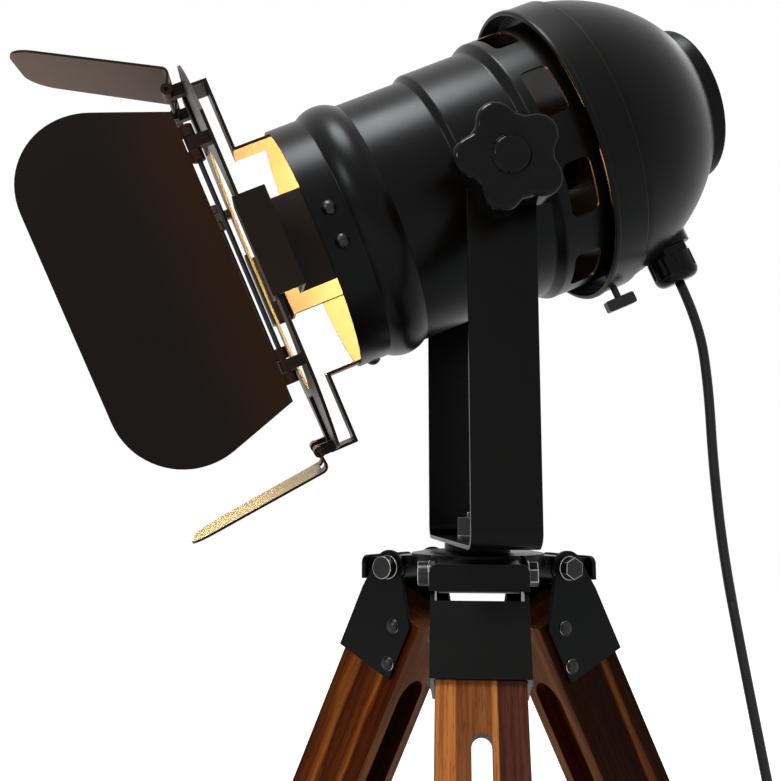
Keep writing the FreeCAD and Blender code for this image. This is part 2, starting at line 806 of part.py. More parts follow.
def make_lower_leg(side, index):
    body = new_body("LowerLeg_" + side)
    section = sketch(body, "XY_Plane", [rectangle(lower_back, lower_face, -lower_half, lower_half)],
                     offset=-d.lower_leg_top)
    pad(body, section, lower_leg_end - d.lower_leg_top, reverse=True)
    insert = sketch(body, "YZ_Plane",
                    circles=[(0.0, -clamp_place, d.clamp_stud_radius + d.running_fit)],
                    offset=lower_face)
    pocket(body, insert, length=d.clamp_stud_grip)
    return node("lower_leg_" + side, body, leg_frame(index))


def make_foot(side, index):
    """Rubber shoe, cut level with the table."""
    body = new_body("Foot_" + side)
    wall = d.foot_wall
    outer = rounded(lower_back - wall, lower_face + wall, -(lower_half + wall), lower_half + wall,
                    wall)
    pad(body, sketch(body, "XY_Plane", [outer], offset=-foot_top), d.foot_height * 2,
        reverse=True)
    hole = rectangle(lower_back, lower_face, -lower_half, lower_half)
    pocket(body, sketch(body, "XY_Plane", [hole], offset=-foot_top),
           length=lower_leg_end - foot_top)
    reach = d.foot_height * 2
    fall = reach * splay_sine / splay_cosine
    wedge = [(lower_middle - reach, -table_down + fall), (lower_middle - reach, -table_down - reach * 2),
             (lower_middle + reach, -table_down - reach * 2),
             (lower_middle + reach, -table_down - fall)]
    pocket(body, sketch(body, "XZ_Plane", [wedge]), length=reach * 2, both_ways=True)
    return node("foot_" + side, body, leg_frame(index))


def make_clamp_knob(side, index):
    """Hand knob with its stud, which goes through the slot into the lower leg."""
    body = new_body("ClampKnob_" + side)
    seat = wood_face + d.moving_gap
    crown = seat + d.clamp_boss_height + d.clamp_knob_height
    tip = lower_face - d.clamp_stud_grip + 0.5
    profile = [(tip, 0.0), (tip, d.clamp_stud_radius), (seat, d.clamp_stud_radius),
               (seat, d.clamp_boss_radius), (seat + d.clamp_boss_height, d.clamp_boss_radius),
               (seat + d.clamp_boss_height, d.clamp_knob_radius),
               (crown - 2.0, d.clamp_knob_radius, 2.0), (crown, d.clamp_knob_radius - 2.0),
               (crown, 0.0)]
    turn(body, "Revolution", sketch(body, "XZ_Plane", [profile]), "X_Axis")
    flute = sketch(body, "YZ_Plane", circles=[(0.0, d.clamp_knob_radius + 2.6, 4.2)],
                   offset=seat + d.clamp_boss_height - 0.5)
    first = pocket(body, flute, length=d.clamp_knob_height + 2.0, reverse=True)
    around(body, [first], "X_Axis", d.knob_flutes)
    place = leg_frame(index) * Placement(Vector(0, 0, -float(clamp_place)), Rotation())
    return node("clamp_knob_" + side, body, place)


# ---- yoke and tilt knobs ----

yoke_inner = yoke_half - d.yoke_sheet


def make_yoke():
    body = new_body("Yoke")
    top = pivot_height + d.yoke_end
    bend, inner_bend = d.yoke_bend, d.yoke_bend - d.yoke_sheet
    floor = yoke_base + d.yoke_sheet
    out, inn = yoke_half, yoke_inner
    section = [(-out + bend, yoke_base), (out - bend, yoke_base, bend), (out, yoke_base + bend),
               (out, top), (inn, top), (inn, floor + inner_bend, -inner_bend),
               (inn - inner_bend, floor), (-inn + inner_bend, floor, -inner_bend),
               (-inn, floor + inner_bend), (-inn, top), (-out, top), (-out, yoke_base + bend, bend)]
    pad(body, sketch(body, "YZ_Plane", [section]), d.yoke_width, both_ways=True)
    high = lambda edge: parallel(edge, Y) and edge.CenterOfMass.z > float(top) - 0.01
    ease(body, "Fillet", d.yoke_round, high)
    studs = sketch(body, "XZ_Plane",
                   circles=[(0.0, pivot_height, d.tilt_stud_radius + d.running_fit)])
    pocket(body, studs, length=yoke_half * 4, both_ways=True)
    bore = sketch(body, "XY_Plane", circles=[(0.0, 0.0, d.pan_bolt_radius + d.running_fit)],
                  offset=yoke_base + d.yoke_bend)
    pocket(body, bore, length=d.yoke_bend * 2)
    return node("yoke", body)


def make_tilt_washers():
    pieces = []
    for way in (1, -1):
        seat = way * float(yoke_half)
        disc = cylinder(d.tilt_washer_radius, d.tilt_washer_thickness,
                        along(Y * way, y=seat, z=pivot_height))
        hole = cylinder(d.tilt_stud_radius + d.running_fit, d.tilt_washer_thickness,
                        along(Y * way, y=seat, z=pivot_height))
        pieces.append(cut(disc, hole))
    node("tilt_washers", group(pieces, "TiltWashers"))


knob_seat = yoke_half + d.tilt_washer_thickness + d.moving_gap


def make_tilt_knob(side, way):
    """Five-lobed hand knob with its stud, which screws into the head's boss."""
    body = new_body("TiltKnob_" + side)
    inner_end = yoke_inner - d.tilt_stud_grip
    spin = sketch(body, "XY_Plane", circles=[(0.0, 0.0, d.tilt_stud_radius)], offset=inner_end)
    pad(body, spin, knob_seat - inner_end)
    boss = sketch(body, "XY_Plane", circles=[(0.0, 0.0, d.knob_boss_radius)], offset=knob_seat)
    pad(body, boss, d.knob_boss_height)
    face = knob_seat + d.knob_boss_height
    core = sketch(body, "XY_Plane", circles=[(0.0, 0.0, d.knob_core_radius)], offset=face)
    pad(body, core, d.knob_height)
    lobe = sketch(body, "XY_Plane", circles=[(d.knob_lobe_centre, 0.0, d.knob_lobe_radius)],
                  offset=face)
    around(body, [pad(body, lobe, d.knob_height)], "Z_Axis", d.knob_lobes)
    rims = lambda edge: edge.BoundBox.ZLength < 1e-6 and \
        min(abs(edge.CenterOfMass.z - float(face)),
            abs(edge.CenterOfMass.z - float(face + d.knob_height))) < 1e-4 and \
        edge.BoundBox.XLength + edge.BoundBox.YLength < 3.6 * float(d.knob_core_radius) and \
        max(math.hypot(v.X, v.Y) for v in edge.Vertexes) > float(d.knob_boss_radius) + 1
    ease(body, "Fillet", d.knob_edge, rims)
    cap = sketch(body, "XY_Plane", circles=[(0.0, 0.0, d.knob_cap_radius)],
                 offset=face + d.knob_height - 0.4)
    pad(body, cap, d.knob_cap_height + 0.4)
    spin = Rotation(Z, Y * way) * Rotation(Z, float(d.knob_turn))
    return node("tilt_knob_" + side, body, Placement(Vector(0, 0, float(pivot_height)), spin))


# ---- head ----

def make_can():
    """Spun can: collar, rolled bead, barrel, two steps and the vented tail."""
    body = new_body("Can")
    t = d.can_sheet
    outer = [(d.rim_front, d.collar_radius), (d.bead_front, d.collar_radius, d.bead_curve),
             (d.bead_back, d.collar_radius), (d.mid_step_front, d.collar_radius),
             (d.mid_step_back, mid_radius), (d.vent_step_front, mid_radius),
             (d.vent_step_back, vent_radius), (d.can_tail, vent_radius)]
    inner = [(d.can_tail, vent_radius - t), (d.vent_step_back + t / 2, vent_radius - t),
             (d.vent_step_front + t / 2, mid_radius - t),
             (d.mid_step_back + t / 2, mid_radius - t),
             (d.mid_step_front + t / 2, d.collar_radius - t),
             (d.bead_back, d.collar_radius - t, -d.bead_curve),
             (d.bead_front, d.collar_radius - t), (d.rim_front, d.collar_radius - t)]
    turn(body, "Revolution", sketch(body, "XZ_Plane", [outer + inner]), "X_Axis")
    vent = rounded(d.vent_back, d.vent_front, -d.vent_half, d.vent_half, d.vent_corner)
    slot = pocket(body, sketch(body, "XY_Plane", [vent]), length=vent_radius * 1.5, reverse=True)
    around(body, [slot], "X_Axis", d.vent_count)
    return node("can", body, HEAD)


def clip_screw_places():
    """Turn about the head's axis, and sideways place, of each clip screw."""
    side = math.degrees(math.asin(float(d.clip_screw_spread) / float(d.collar_radius)))
    return [(0.0, 0.0), (180.0, 0.0), (90.0, -side), (90.0, side), (270.0, -side), (270.0, side)]


def make_tilt_bosses():
    """Threaded bosses that hold the head's sides to the tilt studs."""
    pieces = []
    reach = yoke_inner - d.moving_gap
    for way in (1, -1):
        boss = cylinder(d.tilt_boss_radius, reach, along(Y * way, z=-d.axis_lift))
        inside = cylinder(mid_radius, d.tilt_boss_radius * 4,
                          along(X, x=-float(d.tilt_boss_radius) * 2))
        hole = cylinder(d.tilt_stud_radius + d.running_fit, reach, along(Y * way, z=-d.axis_lift))
        pieces.append(cut(cut(boss, inside), hole))
    node("tilt_bosses", group(pieces, "TiltBosses"), HEAD)


def make_rear_band():
    """Band around the can's tail, with the web that carries the lamp holder."""
    body = new_body("RearBand")
    t = d.band_sheet
    inner = band_radius - t
    lip_end = d.band_front - d.band_lip_length
    web_front = d.can_tail
    web_back = d.can_tail - d.web_sheet
    section = [(d.band_front, inner), (d.band_front, band_radius + d.band_lip),
               (lip_end, band_radius + d.band_lip), (lip_end - d.band_lip, band_radius),
               (d.band_back, band_radius), (d.band_back, inner), (web_back, inner),
               (web_back, d.web_bore), (web_front, d.web_bore), (web_front, inner)]
    turn(body, "Revolution", sketch(body, "XZ_Plane", [section]), "X_Axis")
    vent = sketch(body, "YZ_Plane", circles=[(0.0, d.web_vent_circle, d.web_vent_radius)],
                  offset=web_front + 1.0)
    around(body, [pocket(body, vent, length=d.web_sheet + 2.0)], "X_Axis", d.web_vent_count)
    thread = sketch(body, "XY_Plane",
                    circles=[(d.thumb_place, 0.0, d.thumb_stem_radius + d.running_fit)],
                    offset=-band_radius + d.band_sheet * 2)
    pocket(body, thread, length=d.band_sheet * 3)
    return node("rear_band", body, HEAD)


dome_end_radius = band_radius - d.dome_end_in
end_cap_radius = dome_end_radius - d.end_cap_in


def make_dome():
    """Spun rear dome, with a flat seat for the cable gland."""
    body = new_body("Dome")
    t = d.dome_sheet
    skirt = band_radius - d.band_sheet - d.dome_gap
    dome_opening = dome_end_radius - d.dome_lip
    front = d.can_tail - d.web_sheet
    section = [(front, skirt), (d.dome_skirt_back, skirt, d.dome_curve),
               (d.dome_back, dome_end_radius), (d.dome_back, dome_opening),
               (d.dome_back + t, dome_opening), (d.dome_back + t, dome_end_radius - t / 2,
                                                   -(d.dome_curve - t)),
               (d.dome_skirt_back, skirt - t), (front, skirt - t)]
    turn(body, "Revolution", sketch(body, "XZ_Plane", [section]), "X_Axis")
    seat = sketch(body, "XY_Plane", circles=[(d.gland_place, 0.0, d.gland_seat_radius)],
                  offset=-(gland_seat_down - d.gland_boss_height))
    pad(body, seat, d.gland_boss_height, reverse=True)
    level = sketch(body, "XY_Plane", circles=[(d.gland_place, 0.0, d.gland_seat_radius)],
                   offset=-gland_seat_down)
    pocket(body, level, length=d.gland_boss_height)
    bore = sketch(body, "XY_Plane",
                  circles=[(d.gland_place, 0.0, d.gland_thread_radius + d.running_fit)],
                  offset=-(gland_seat_down - d.gland_boss_height * 2))
    pocket(body, bore, length=d.gland_boss_height * 3)
    return node("dome", body, HEAD)


def make_end_cap():
    body = new_body("EndCap")
    front, rear = d.dome_back, d.dome_back - d.end_cap_depth
    rim = end_cap_radius + d.end_cap_flare
    section = [(front, 0.0), (front, end_cap_radius), (rear, rim),
               (rear, rim - d.end_cap_rim), (rear + d.end_cap_recess, rim - d.end_cap_rim - 1.0),
               (rear + d.end_cap_recess, 0.0)]
    turn(body, "Revolution", sketch(body, "XZ_Plane", [section]), "X_Axis")
    return node("end_cap", body, HEAD)


def make_thumb_screw():
    """T-shaped thumb screw that holds the band on the can's tail."""
    body = new_body("ThumbScrew")
    tip = vent_radius + d.moving_gap
    bar_near = band_radius + d.thumb_stem_length
    stem = sketch(body, "XY_Plane", circles=[(0.0, 0.0, d.thumb_stem_radius)], offset=-tip)
    pad(body, stem, bar_near - tip, reverse=True)
    half = d.thumb_bar_length / 2
    bar = rounded(-half, half, -(bar_near + d.thumb_bar_height), -bar_near, d.thumb_bar_corner)
    pad(body, sketch(body, "XZ_Plane", [bar]), d.thumb_bar_thickness, both_ways=True)
    place = HEAD * Placement(Vector(float(d.thumb_place), 0, 0), Rotation())
    return node("thumb_screw", body, place)


holder_front = d.can_tail + d.holder_length


def make_lamp_holder():
    body = new_body("LampHolder")
    back = d.can_tail
    section = [(back, 0.0), (back, d.holder_radius), (holder_front - 3.0, d.holder_radius - 1.0),
               (holder_front, d.holder_radius - 2.5), (holder_front, d.holder_bore),
               (back + d.holder_floor, d.holder_bore), (back + d.holder_floor, 0.0)]
    turn(body, "Revolution", sketch(body, "XZ_Plane", [section]), "X_Axis")
    return node("lamp_holder", body, HEAD)


bulb_seat = holder_front + 1.0


def make_bulb():
    """Glass envelope with its screw cap."""
    body = new_body("BulbCap")
    back = bulb_seat - d.bulb_cap_length
    section = [(back, 0.0), (back, d.bulb_contact_radius),
               (back + d.bulb_cap_cone, d.bulb_cap_radius),
               (bulb_seat, d.bulb_cap_radius), (bulb_seat, 0.0)]
    turn(body, "Revolution", sketch(body, "XZ_Plane", [section]), "X_Axis")
    node("bulb_cap", body, HEAD)
    body = new_body("BulbGlass")
    wide = bulb_seat + d.bulb_length - d.bulb_radius
    tip = bulb_seat + d.bulb_length
    w = d.bulb_wall
    neck_end = bulb_seat + d.bulb_neck_length
    mouth = d.bulb_cap_radius - d.bulb_cap_lap
    section = [(bulb_seat, mouth), (neck_end, d.bulb_neck_radius),
               (wide, d.bulb_radius, -d.bulb_radius), (tip, 0.0),
               (tip - w, 0.0, d.bulb_radius - w), (wide, d.bulb_radius - w),
               (neck_end, d.bulb_neck_radius - w), (bulb_seat, mouth - w)]
    turn(body, "Revolution", sketch(body, "XZ_Plane", [section]), "X_Axis")
    node("bulb_glass", body, HEAD)


def make_gland():
    place = HEAD * Placement(Vector(float(d.gland_place), 0, -float(gland_seat_down)),
                             Rotation(X, 180))
    body = new_body("GlandBody")
    ring = sketch(body, "XY_Plane", [hexagon(d.gland_flange_radius)])
    pad(body, ring, d.gland_flange_height)
    thread = sketch(body, "XY_Plane", circles=[(0.0, 0.0, d.gland_thread_radius)])
    pad(body, thread, 8.0, reverse=True)
    node("gland_body", body, place)
    body = new_body("GlandNut")
    low, high = d.gland_flange_height, d.gland_flange_height + d.gland_nut_height
    rim = d.gland_nut_radius
    section = [(0.0, low), (rim, low), (rim, high - d.gland_nut_round, d.gland_nut_round),
               (rim - d.gland_nut_round, high), (0.0, high)]
    turn(body, "Revolution", sketch(body, "XZ_Plane", [section]), "Z_Axis")
    notch = sketch(body, "XY_Plane", circles=[(rim + 1.6, 0.0, 2.4)], offset=low - 1.0)
    around(body, [pocket(body, notch, length=d.gland_nut_height * 0.62 + 1.0, reverse=True)],
           "Z_Axis", 8)
    node("gland_nut", body, place)


def hexagon(radius):
    half, slant = radius / 2, radius * math.sqrt(0.75)
    return [(radius, 0.0), (half, slant), (-half, slant), (-radius, 0.0), (-half, -slant),
            (half, -slant)]


# ---- accessory clips and barn doors ----

def make_clip(side, width, reach):
    """Sheet clip: a curved tail inside the collar and a channel for the door frame."""
    body = new_body("Clip_" + side)
    t = d.clip_sheet
    outer = d.collar_radius - d.can_sheet
    inner = outer - t
    spread = 2 * math.degrees(math.asin(float(width) / 2 / float(outer)))
    tail = rectangle(d.clip_tail, d.clip_rear + t, inner, outer)
    turn(body, "Revolution", sketch(body, "XZ_Plane", [tail]), "X_Axis", angle=spread,
         both_ways=True)
    low = inner - d.clip_tail_depth
    clip_lip = d.collar_radius + d.clip_lip_rise
    channel = [(d.clip_rear, low), (d.clip_rear + t, low), (d.clip_rear + t, reach - t),
               (d.clip_front - t, reach - t), (d.clip_front - t, clip_lip),
               (d.clip_front, clip_lip), (d.clip_front, reach), (d.clip_rear, reach)]
    pad(body, sketch(body, "XZ_Plane", [channel]), width, both_ways=True)
    core = sketch(body, "YZ_Plane", circles=[(0.0, 0.0, inner)], offset=d.clip_front + 1.0)
    pocket(body, core, length=d.clip_front)
    body.Placement = Placement(ORIGIN, Rotation(X, SIDES[side]))
    return body


def make_clips():
    """Two like pairs of clips: narrow above and below, wide on the sides."""
    ends = [make_clip(side, d.clip_narrow, clip_high) for side in ("top", "bottom")]
    node("end_clips", group(ends, "EndClips"), FRONT)
    flanks = [make_clip(side, d.clip_wide, clip_broad) for side in ("near", "far")]
    node("side_clips", group(flanks, "SideClips"), FRONT)


def make_clip_screws():
    pieces = []
    for angle, spread in clip_screw_places():
        about = Placement(ORIGIN, Rotation(X, -(angle + spread)))
        head = ball_end(d.clip_screw_head, d.clip_screw_height,
                        about * along(Z, x=d.clip_screw_place, z=d.collar_radius))
        pieces.append(head)
    node("clip_screws", group(pieces, "ClipScrews"), FRONT)


SIDES = {"top": 0, "near": -90, "bottom": 180, "far": 90}
frame_front = d.clip_front - d.clip_sheet - d.moving_gap
frame_back = frame_front - d.frame_sheet
pin_hole = d.hinge_pin_radius + d.running_fit


def make_door_frame():
    """Flat frame held by the clips, with the fixed knuckles of the four hinges."""
    body = new_body("DoorFrame")
    half_width = clip_broad - d.clip_sheet - d.moving_gap
    half_height = clip_high - d.clip_sheet - d.moving_gap
    frame_opening = d.collar_radius + d.frame_room
    plate = rounded(-half_width, half_width, -half_height, half_height, d.frame_corner)
    face = sketch(body, "YZ_Plane", [plate], circles=[(0.0, 0.0, frame_opening)],
                  offset=frame_back)
    pad(body, face, d.frame_sheet)
    k = d.knuckle_radius
    half = d.knuckle_length / 2
    for plane, out, place in (("XZ_Plane", hinge_high, d.end_knuckle),
                              ("XY_Plane", hinge_side, d.side_knuckle)):
        for way in (1, -1):
            low, high = out * way - k, out * way + k
            knuckle = [(frame_back, low), (d.hinge_place, low, k), (d.hinge_place, high),
                       (frame_back, high)]
            for end in (1, -1):
                pad(body, sketch(body, plane, [knuckle], offset=place * end - half),
                    d.knuckle_length)
        pins = sketch(body, plane, circles=[(d.hinge_place, out, pin_hole),
                                            (d.hinge_place, -out, pin_hole)])
        pocket(body, pins, length=(place + d.knuckle_length) * 2, both_ways=True)
    return node("door_frame", body, FRONT)


def leaf_frame(side, flare):
    """X out along the leaf, Y along its hinge, Z away from the beam, zero on the hinge axis."""
    out = hinge_side if side in ("near", "far") else hinge_high
    hinge = Placement(Vector(float(d.hinge_place), 0, float(out)), Rotation(Y, -float(flare)))
    return FRONT * Placement(ORIGIN, Rotation(X, SIDES[side])) * hinge


leaf_start = d.knuckle_radius + d.knuckle_gap


def leaf_knuckles(body, place, strip):
    """The leaf's own knuckles, on both sides of each of the frame's, and their pin hole."""
    half = d.knuckle_length / 2
    for way in (1, -1):
        middle = place * way
        for end in (1, -1):
            centre = middle + (d.knuckle_length + d.knuckle_gap) * end
            barrel = sketch(body, "XZ_Plane", circles=[(0.0, 0.0, d.knuckle_radius)],
                            offset=centre - half)
            pad(body, barrel, d.knuckle_length)
            pad(body, sketch(body, "XZ_Plane", [strip], offset=centre - half),
                d.knuckle_length)
    hole = sketch(body, "XZ_Plane", circles=[(0.0, 0.0, pin_hole)])
    pocket(body, hole, length=(place + d.knuckle_length * 2) * 2, both_ways=True)


def corner_points(length, root, end, radius, start):
    """Half outline of a leaf: a slanted side and a round outer corner."""
    slant = math.atan2(float(end) - float(root), float(length) - float(start))
    tangent = float(radius) * math.tan((math.pi / 2 + slant) / 2)
    along_side = (float(length) - tangent * math.cos(slant), float(end) - tangent * math.sin(slant))
    return along_side, (float(length), float(end) - tangent)


def leaf_outline(length, root, end, radius, start):
    side, tip = corner_points(length, root, end, radius, start)
    return [(start, -root), (side[0], -side[1], radius), (tip[0], -tip[1]),
            (tip[0], tip[1], radius), (side[0], side[1]), (start, root)]


def make_side_leaf(side):
    """Large flat leaf on the near or far side."""
    body = new_body("Leaf_" + side)
    half = d.leaf_sheet / 2
    outline = leaf_outline(d.side_leaf_length, d.side_leaf_root, d.side_leaf_end,
                           d.side_leaf_corner, leaf_start)
    pad(body, sketch(body, "XY_Plane", [outline], offset=-half), d.leaf_sheet)
    strip = rectangle(0.0, leaf_start + 1.0, -half, half)
    leaf_knuckles(body, d.side_knuckle, strip)
    return node("leaf_" + side, body, leaf_frame(side, d.side_leaf_flare))


def make_end_leaf(side, flare):
    """Narrow leaf at the top or bottom, stepped out so that it closes over the side leaves."""
    body = new_body("Leaf_" + side)
    half = d.leaf_sheet / 2
    bend, step = d.end_leaf_bend, d.end_leaf_step
    angle = [(-half, leaf_start), (half, leaf_start), (half, step - bend, -(bend - half)),
             (bend, step - half), (bend + 1.0, step - half), (bend + 1.0, step + half),
             (bend, step + half, bend + half), (-half, step - bend)]
    pad(body, sketch(body, "XZ_Plane", [angle]), d.end_leaf_root * 2, both_ways=True)
    outline = leaf_outline(d.end_leaf_length, d.end_leaf_root, d.end_leaf_end,
                           d.end_leaf_corner, bend)
    pad(body, sketch(body, "XY_Plane", [outline], offset=step - half), d.leaf_sheet)
    strip = rectangle(-half, half, 0.0, leaf_start + 1.0)
    leaf_knuckles(body, d.end_knuckle, strip)
    notch = rectangle(-(d.knuckle_radius + 1.0), bend, -(d.knuckle_radius + 1.0), step + 1.0)
    pocket(body, sketch(body, "XZ_Plane", [notch]),
           length=d.clip_narrow + d.end_leaf_notch * 2, both_ways=True)
    relief = rectangle(-d.leaf_sheet, d.leaf_sheet, 0.0, d.end_leaf_relief)
    for way in (1, -1):
        pocket(body, sketch(body, "XZ_Plane", [relief], offset=d.end_knuckle * way),
               length=d.knuckle_length + d.knuckle_gap * 2, both_ways=True)
    return node("leaf_" + side, body, leaf_frame(side, flare))


def make_hinge_pins():
    pieces = []
    for side in SIDES:
        wide = side in ("near", "far")
        reach = (d.side_knuckle if wide else d.end_knuckle) + d.knuckle_length
        pin = cylinder(d.hinge_pin_radius, reach * 2, along(Y, y=-float(reach)))
        single = group([pin], "HingePin_" + side)
        single.Placement = FRONT.inverse() * leaf_frame(side, 0.0)
        pieces.append(single)
    node("hinge_pins", group(pieces, "HingePins"), FRONT)


# ---- cord, switch, coil and plug ----

GLAND_DOWN = HEAD.Rotation.multVec(-Z)
GLAND_END = HEAD.multVec(Vector(float(d.gland_place), 0,
                                -float(gland_seat_down + d.gland_flange_height
                                       + d.gland_nut_height)))
CORD_LEAD = 24.0
PIVOT = float(pivot_height)
SPLIT = PIVOT - 195.0
FLOOR = float(d.cord_radius) + 0.3
LEVEL = float(d.cord_level)
CORD_DROP = [GLAND_END, GLAND_END + GLAND_DOWN * CORD_LEAD, Vector(123.5, 0, PIVOT - 85),
             Vector(124.5, 1, PIVOT - 125), Vector(128, 2, PIVOT - 171), Vector(131, 1, SPLIT)]
SWITCH_WAY = Vector(-0.5, -math.sqrt(0.75), 0)
SWITCH_LEAD = 18.0
CORD_FLOOR = [Vector(131, 1, SPLIT), Vector(134, 0, SPLIT * 0.93), Vector(141, -2, SPLIT * 0.784),
              Vector(149, -2, SPLIT * 0.637), Vector(156, 0, SPLIT * 0.497),
              Vector(161, 2, SPLIT * 0.368), Vector(166, 1, SPLIT * 0.257),
              Vector(175, -2, SPLIT * 0.158), Vector(190, -7, 25), Vector(212, -15, LEVEL),
              Vector(233, -31, FLOOR), Vector(238, -57, FLOOR), Vector(226, -81, LEVEL),
              Vector(226, -81, LEVEL) + SWITCH_WAY * SWITCH_LEAD]
BEND_SHARE = 0.45
CORD_LENGTH = 1500.0


def bend_radius(before, corner, after):
    """Radius of the arc that rounds a corner of the route."""
    inward, outward = corner - before, after - corner
    half_turn = inward.getAngle(outward) / 2
    return BEND_SHARE * min(inward.Length, outward.Length) / math.tan(half_turn)


def cord_path(points):
    """Straight runs joined by tangent arcs."""
    edges, start, radii = [], points[0], []
    for before, corner, after in zip(points, points[1:], points[2:]):
        inward, outward = (corner - before).normalize(), (after - corner).normalize()
        half_turn = inward.getAngle(outward) / 2
        radius = bend_radius(before, corner, after)
        reach = radius * math.tan(half_turn)
        first, last = corner - inward * reach, corner + outward * reach
        bisector = (outward - inward).normalize()
        middle = corner + bisector * (radius / math.cos(half_turn) - radius)
        edges.append(Part.LineSegment(start, first).toShape())
        edges.append(Part.Arc(first, middle, last).toShape())
        start = last
        radii.append(round(radius, 1))
    edges.append(Part.LineSegment(start, points[-1]).toShape())
    return Part.Wire(edges), radii


def make_cord(label, points):
    wire, radii = cord_path(points)
    way = (points[1] - points[0]).normalize()
    ring = Part.Wire([Part.makeCircle(float(d.cord_radius), points[0], way)])
    tube = doc.addObject("Part::Feature", label.title().replace("_", ""))
    tube.Shape = wire.makePipeShell([ring], True, False)
    section = math.pi * float(d.cord_radius) ** 2
    print(label, "length %.1f" % wire.Length, "radii", radii,
          "volume / (section x length) %.4f" % (tube.Shape.Volume / (section * wire.Length)))
    node(label, tube)
    return wire.Length


TABLE_TURN = math.degrees(math.atan2(SWITCH_WAY.y, SWITCH_WAY.x))
switch_end = CORD_FLOOR[-1]


def switch_frame():
    """X along the cord, Z up, zero on the table at the end where the cord comes in."""
    return Placement(Vector(switch_end.x, switch_end.y, 0), Rotation(Z, TABLE_TURN))


rocker_height = d.switch_height - 4.6
rocker_clear = d.moving_gap


def make_switch():
    body = new_body("SwitchBody")
    half = d.switch_width / 2
    outline = rounded(0.0, d.switch_length, -half, half, d.switch_corner)
    pad(body, sketch(body, "XY_Plane", [outline]), d.switch_height)
    top = lambda edge: edge.BoundBox.ZLength < 1e-6 and \
        edge.CenterOfMass.z > float(d.switch_height) - 0.01
    ease(body, "Fillet", 2.5, top)
    middle = d.switch_length / 2
    reach, side = d.rocker_length / 2 + 0.6, d.rocker_width / 2 + rocker_clear
    well = rectangle(middle - reach, middle + reach, -side, side)
    pocket(body, sketch(body, "XY_Plane", [well], offset=d.switch_height), length=11.0)
    pin = sketch(body, "XZ_Plane", circles=[(middle, rocker_height,
                                             d.rocker_pin_radius + d.running_fit)])
    pocket(body, pin, length=(side + 2.0) * 2, both_ways=True)
    return node("switch_body", body, switch_frame())


def make_rocker():
    """Rocker with moulded trunnions, shown pressed to one side."""
    body = new_body("SwitchRocker")
    reach = d.rocker_length / 2 - 0.7
    profile = [(-reach, 2.0), (-3.0, -4.5), (3.0, -4.5), (reach, 2.0), (reach, 5.8),
               (0.0, 4.6), (-reach, 5.8)]
    pad(body, sketch(body, "XZ_Plane", [profile]), d.rocker_width, both_ways=True)
    pin = sketch(body, "XZ_Plane", circles=[(0.0, 0.0, d.rocker_pin_radius)])
    pad(body, pin, d.rocker_width + 3.0, both_ways=True)
    lean = Placement(Vector(float(d.switch_length) / 2, 0, float(rocker_height)), Rotation(Y, 8.0))
    return node("switch_rocker", body, switch_frame() * lean)


PLUG_TURN = -60.0


def coil_frame():
    """Zero at the coil's centre on the table, X along the cord that comes in."""
    start = switch_frame() * Placement(
        Vector(float(d.switch_length + d.coil_lead), -float(d.coil_turn), 0), Rotation())
    return start


def make_coil():
    """Closed outer shape of the put-away coil, with its two leads."""
    height = d.coil_height
    ring = cut(cylinder(d.coil_radius, height, along(Z)), cylinder(d.coil_hole, height, along(Z)))
    leads = []
    for angle, way in ((0.0, -1), (PLUG_TURN, 1)):
        about = Placement(ORIGIN, Rotation(Z, angle))
        lead = cylinder(d.cord_radius, d.coil_lead,
                        about * along(X * way, y=d.coil_turn, z=d.cord_level))
        leads.append(lead)
    node("cord_coil", fuse([ring] + leads), coil_frame())


def plug_frame():
    """X from the cord to the pins, zero on the table where the cord comes in."""
    turned = coil_frame() * Placement(ORIGIN, Rotation(Z, PLUG_TURN))
    return turned * Placement(Vector(float(d.coil_lead), float(d.coil_turn), 0), Rotation())


def make_plug():
    body = new_body("PlugBody")
    half, tail = d.plug_width / 2, d.plug_tail_width / 2
    front = d.plug_length
    outline = [(0.0, -tail), (front - d.plug_nose, -half), (front, -half + 3.0), (front, half - 3.0),
               (front - d.plug_nose, half), (0.0, tail)]
    pad(body, sketch(body, "XY_Plane", [outline]), d.plug_height)
    ease(body, "Fillet", d.plug_corner, lambda edge: parallel(edge, Z))
    place = plug_frame()
    node("plug_body", body, place)
    pins = []
    for way in (1, -1):
        pin = cylinder(d.plug_pin_radius, d.plug_pin_length,
                       along(X, x=front, y=way * float(d.plug_pin_half), z=d.cord_level))
        pins.append(pin)
    node("plug_pins", group(pins, "PlugPins"), place)


# ---- build ----

make_hub()
make_pan_parts()
make_hinge_fasteners()
for side, index in LEGS.items():
    make_leg_bracket(side, index)
    make_upper_leg(side, index)
    make_leg_guide(side, index)
    make_leg_screws(side, index)
    make_lower_leg(side, index)
    make_foot(side, index)
    make_clamp_knob(side, index)
make_yoke()
make_tilt_washers()
make_tilt_knob("near", -1)
make_tilt_knob("far", 1)
make_can()
make_tilt_bosses()
make_rear_band()
make_dome()
make_end_cap()
make_thumb_screw()
make_lamp_holder()
make_bulb()
make_gland()
make_clips()
make_clip_screws()
make_door_frame()
make_hinge_pins()
make_side_leaf("near")
make_side_leaf("far")
make_end_leaf("top", d.top_leaf_flare)
make_end_leaf("bottom", d.bottom_leaf_flare)
drawn = make_cord("cord_upper", CORD_DROP) + make_cord("cord_lower", CORD_FLOOR)
print("cord outside the coil %.0f of %.0f mm" % (drawn, CORD_LENGTH))
make_switch()
make_rocker()
make_coil()
make_plug()
doc.recompute()

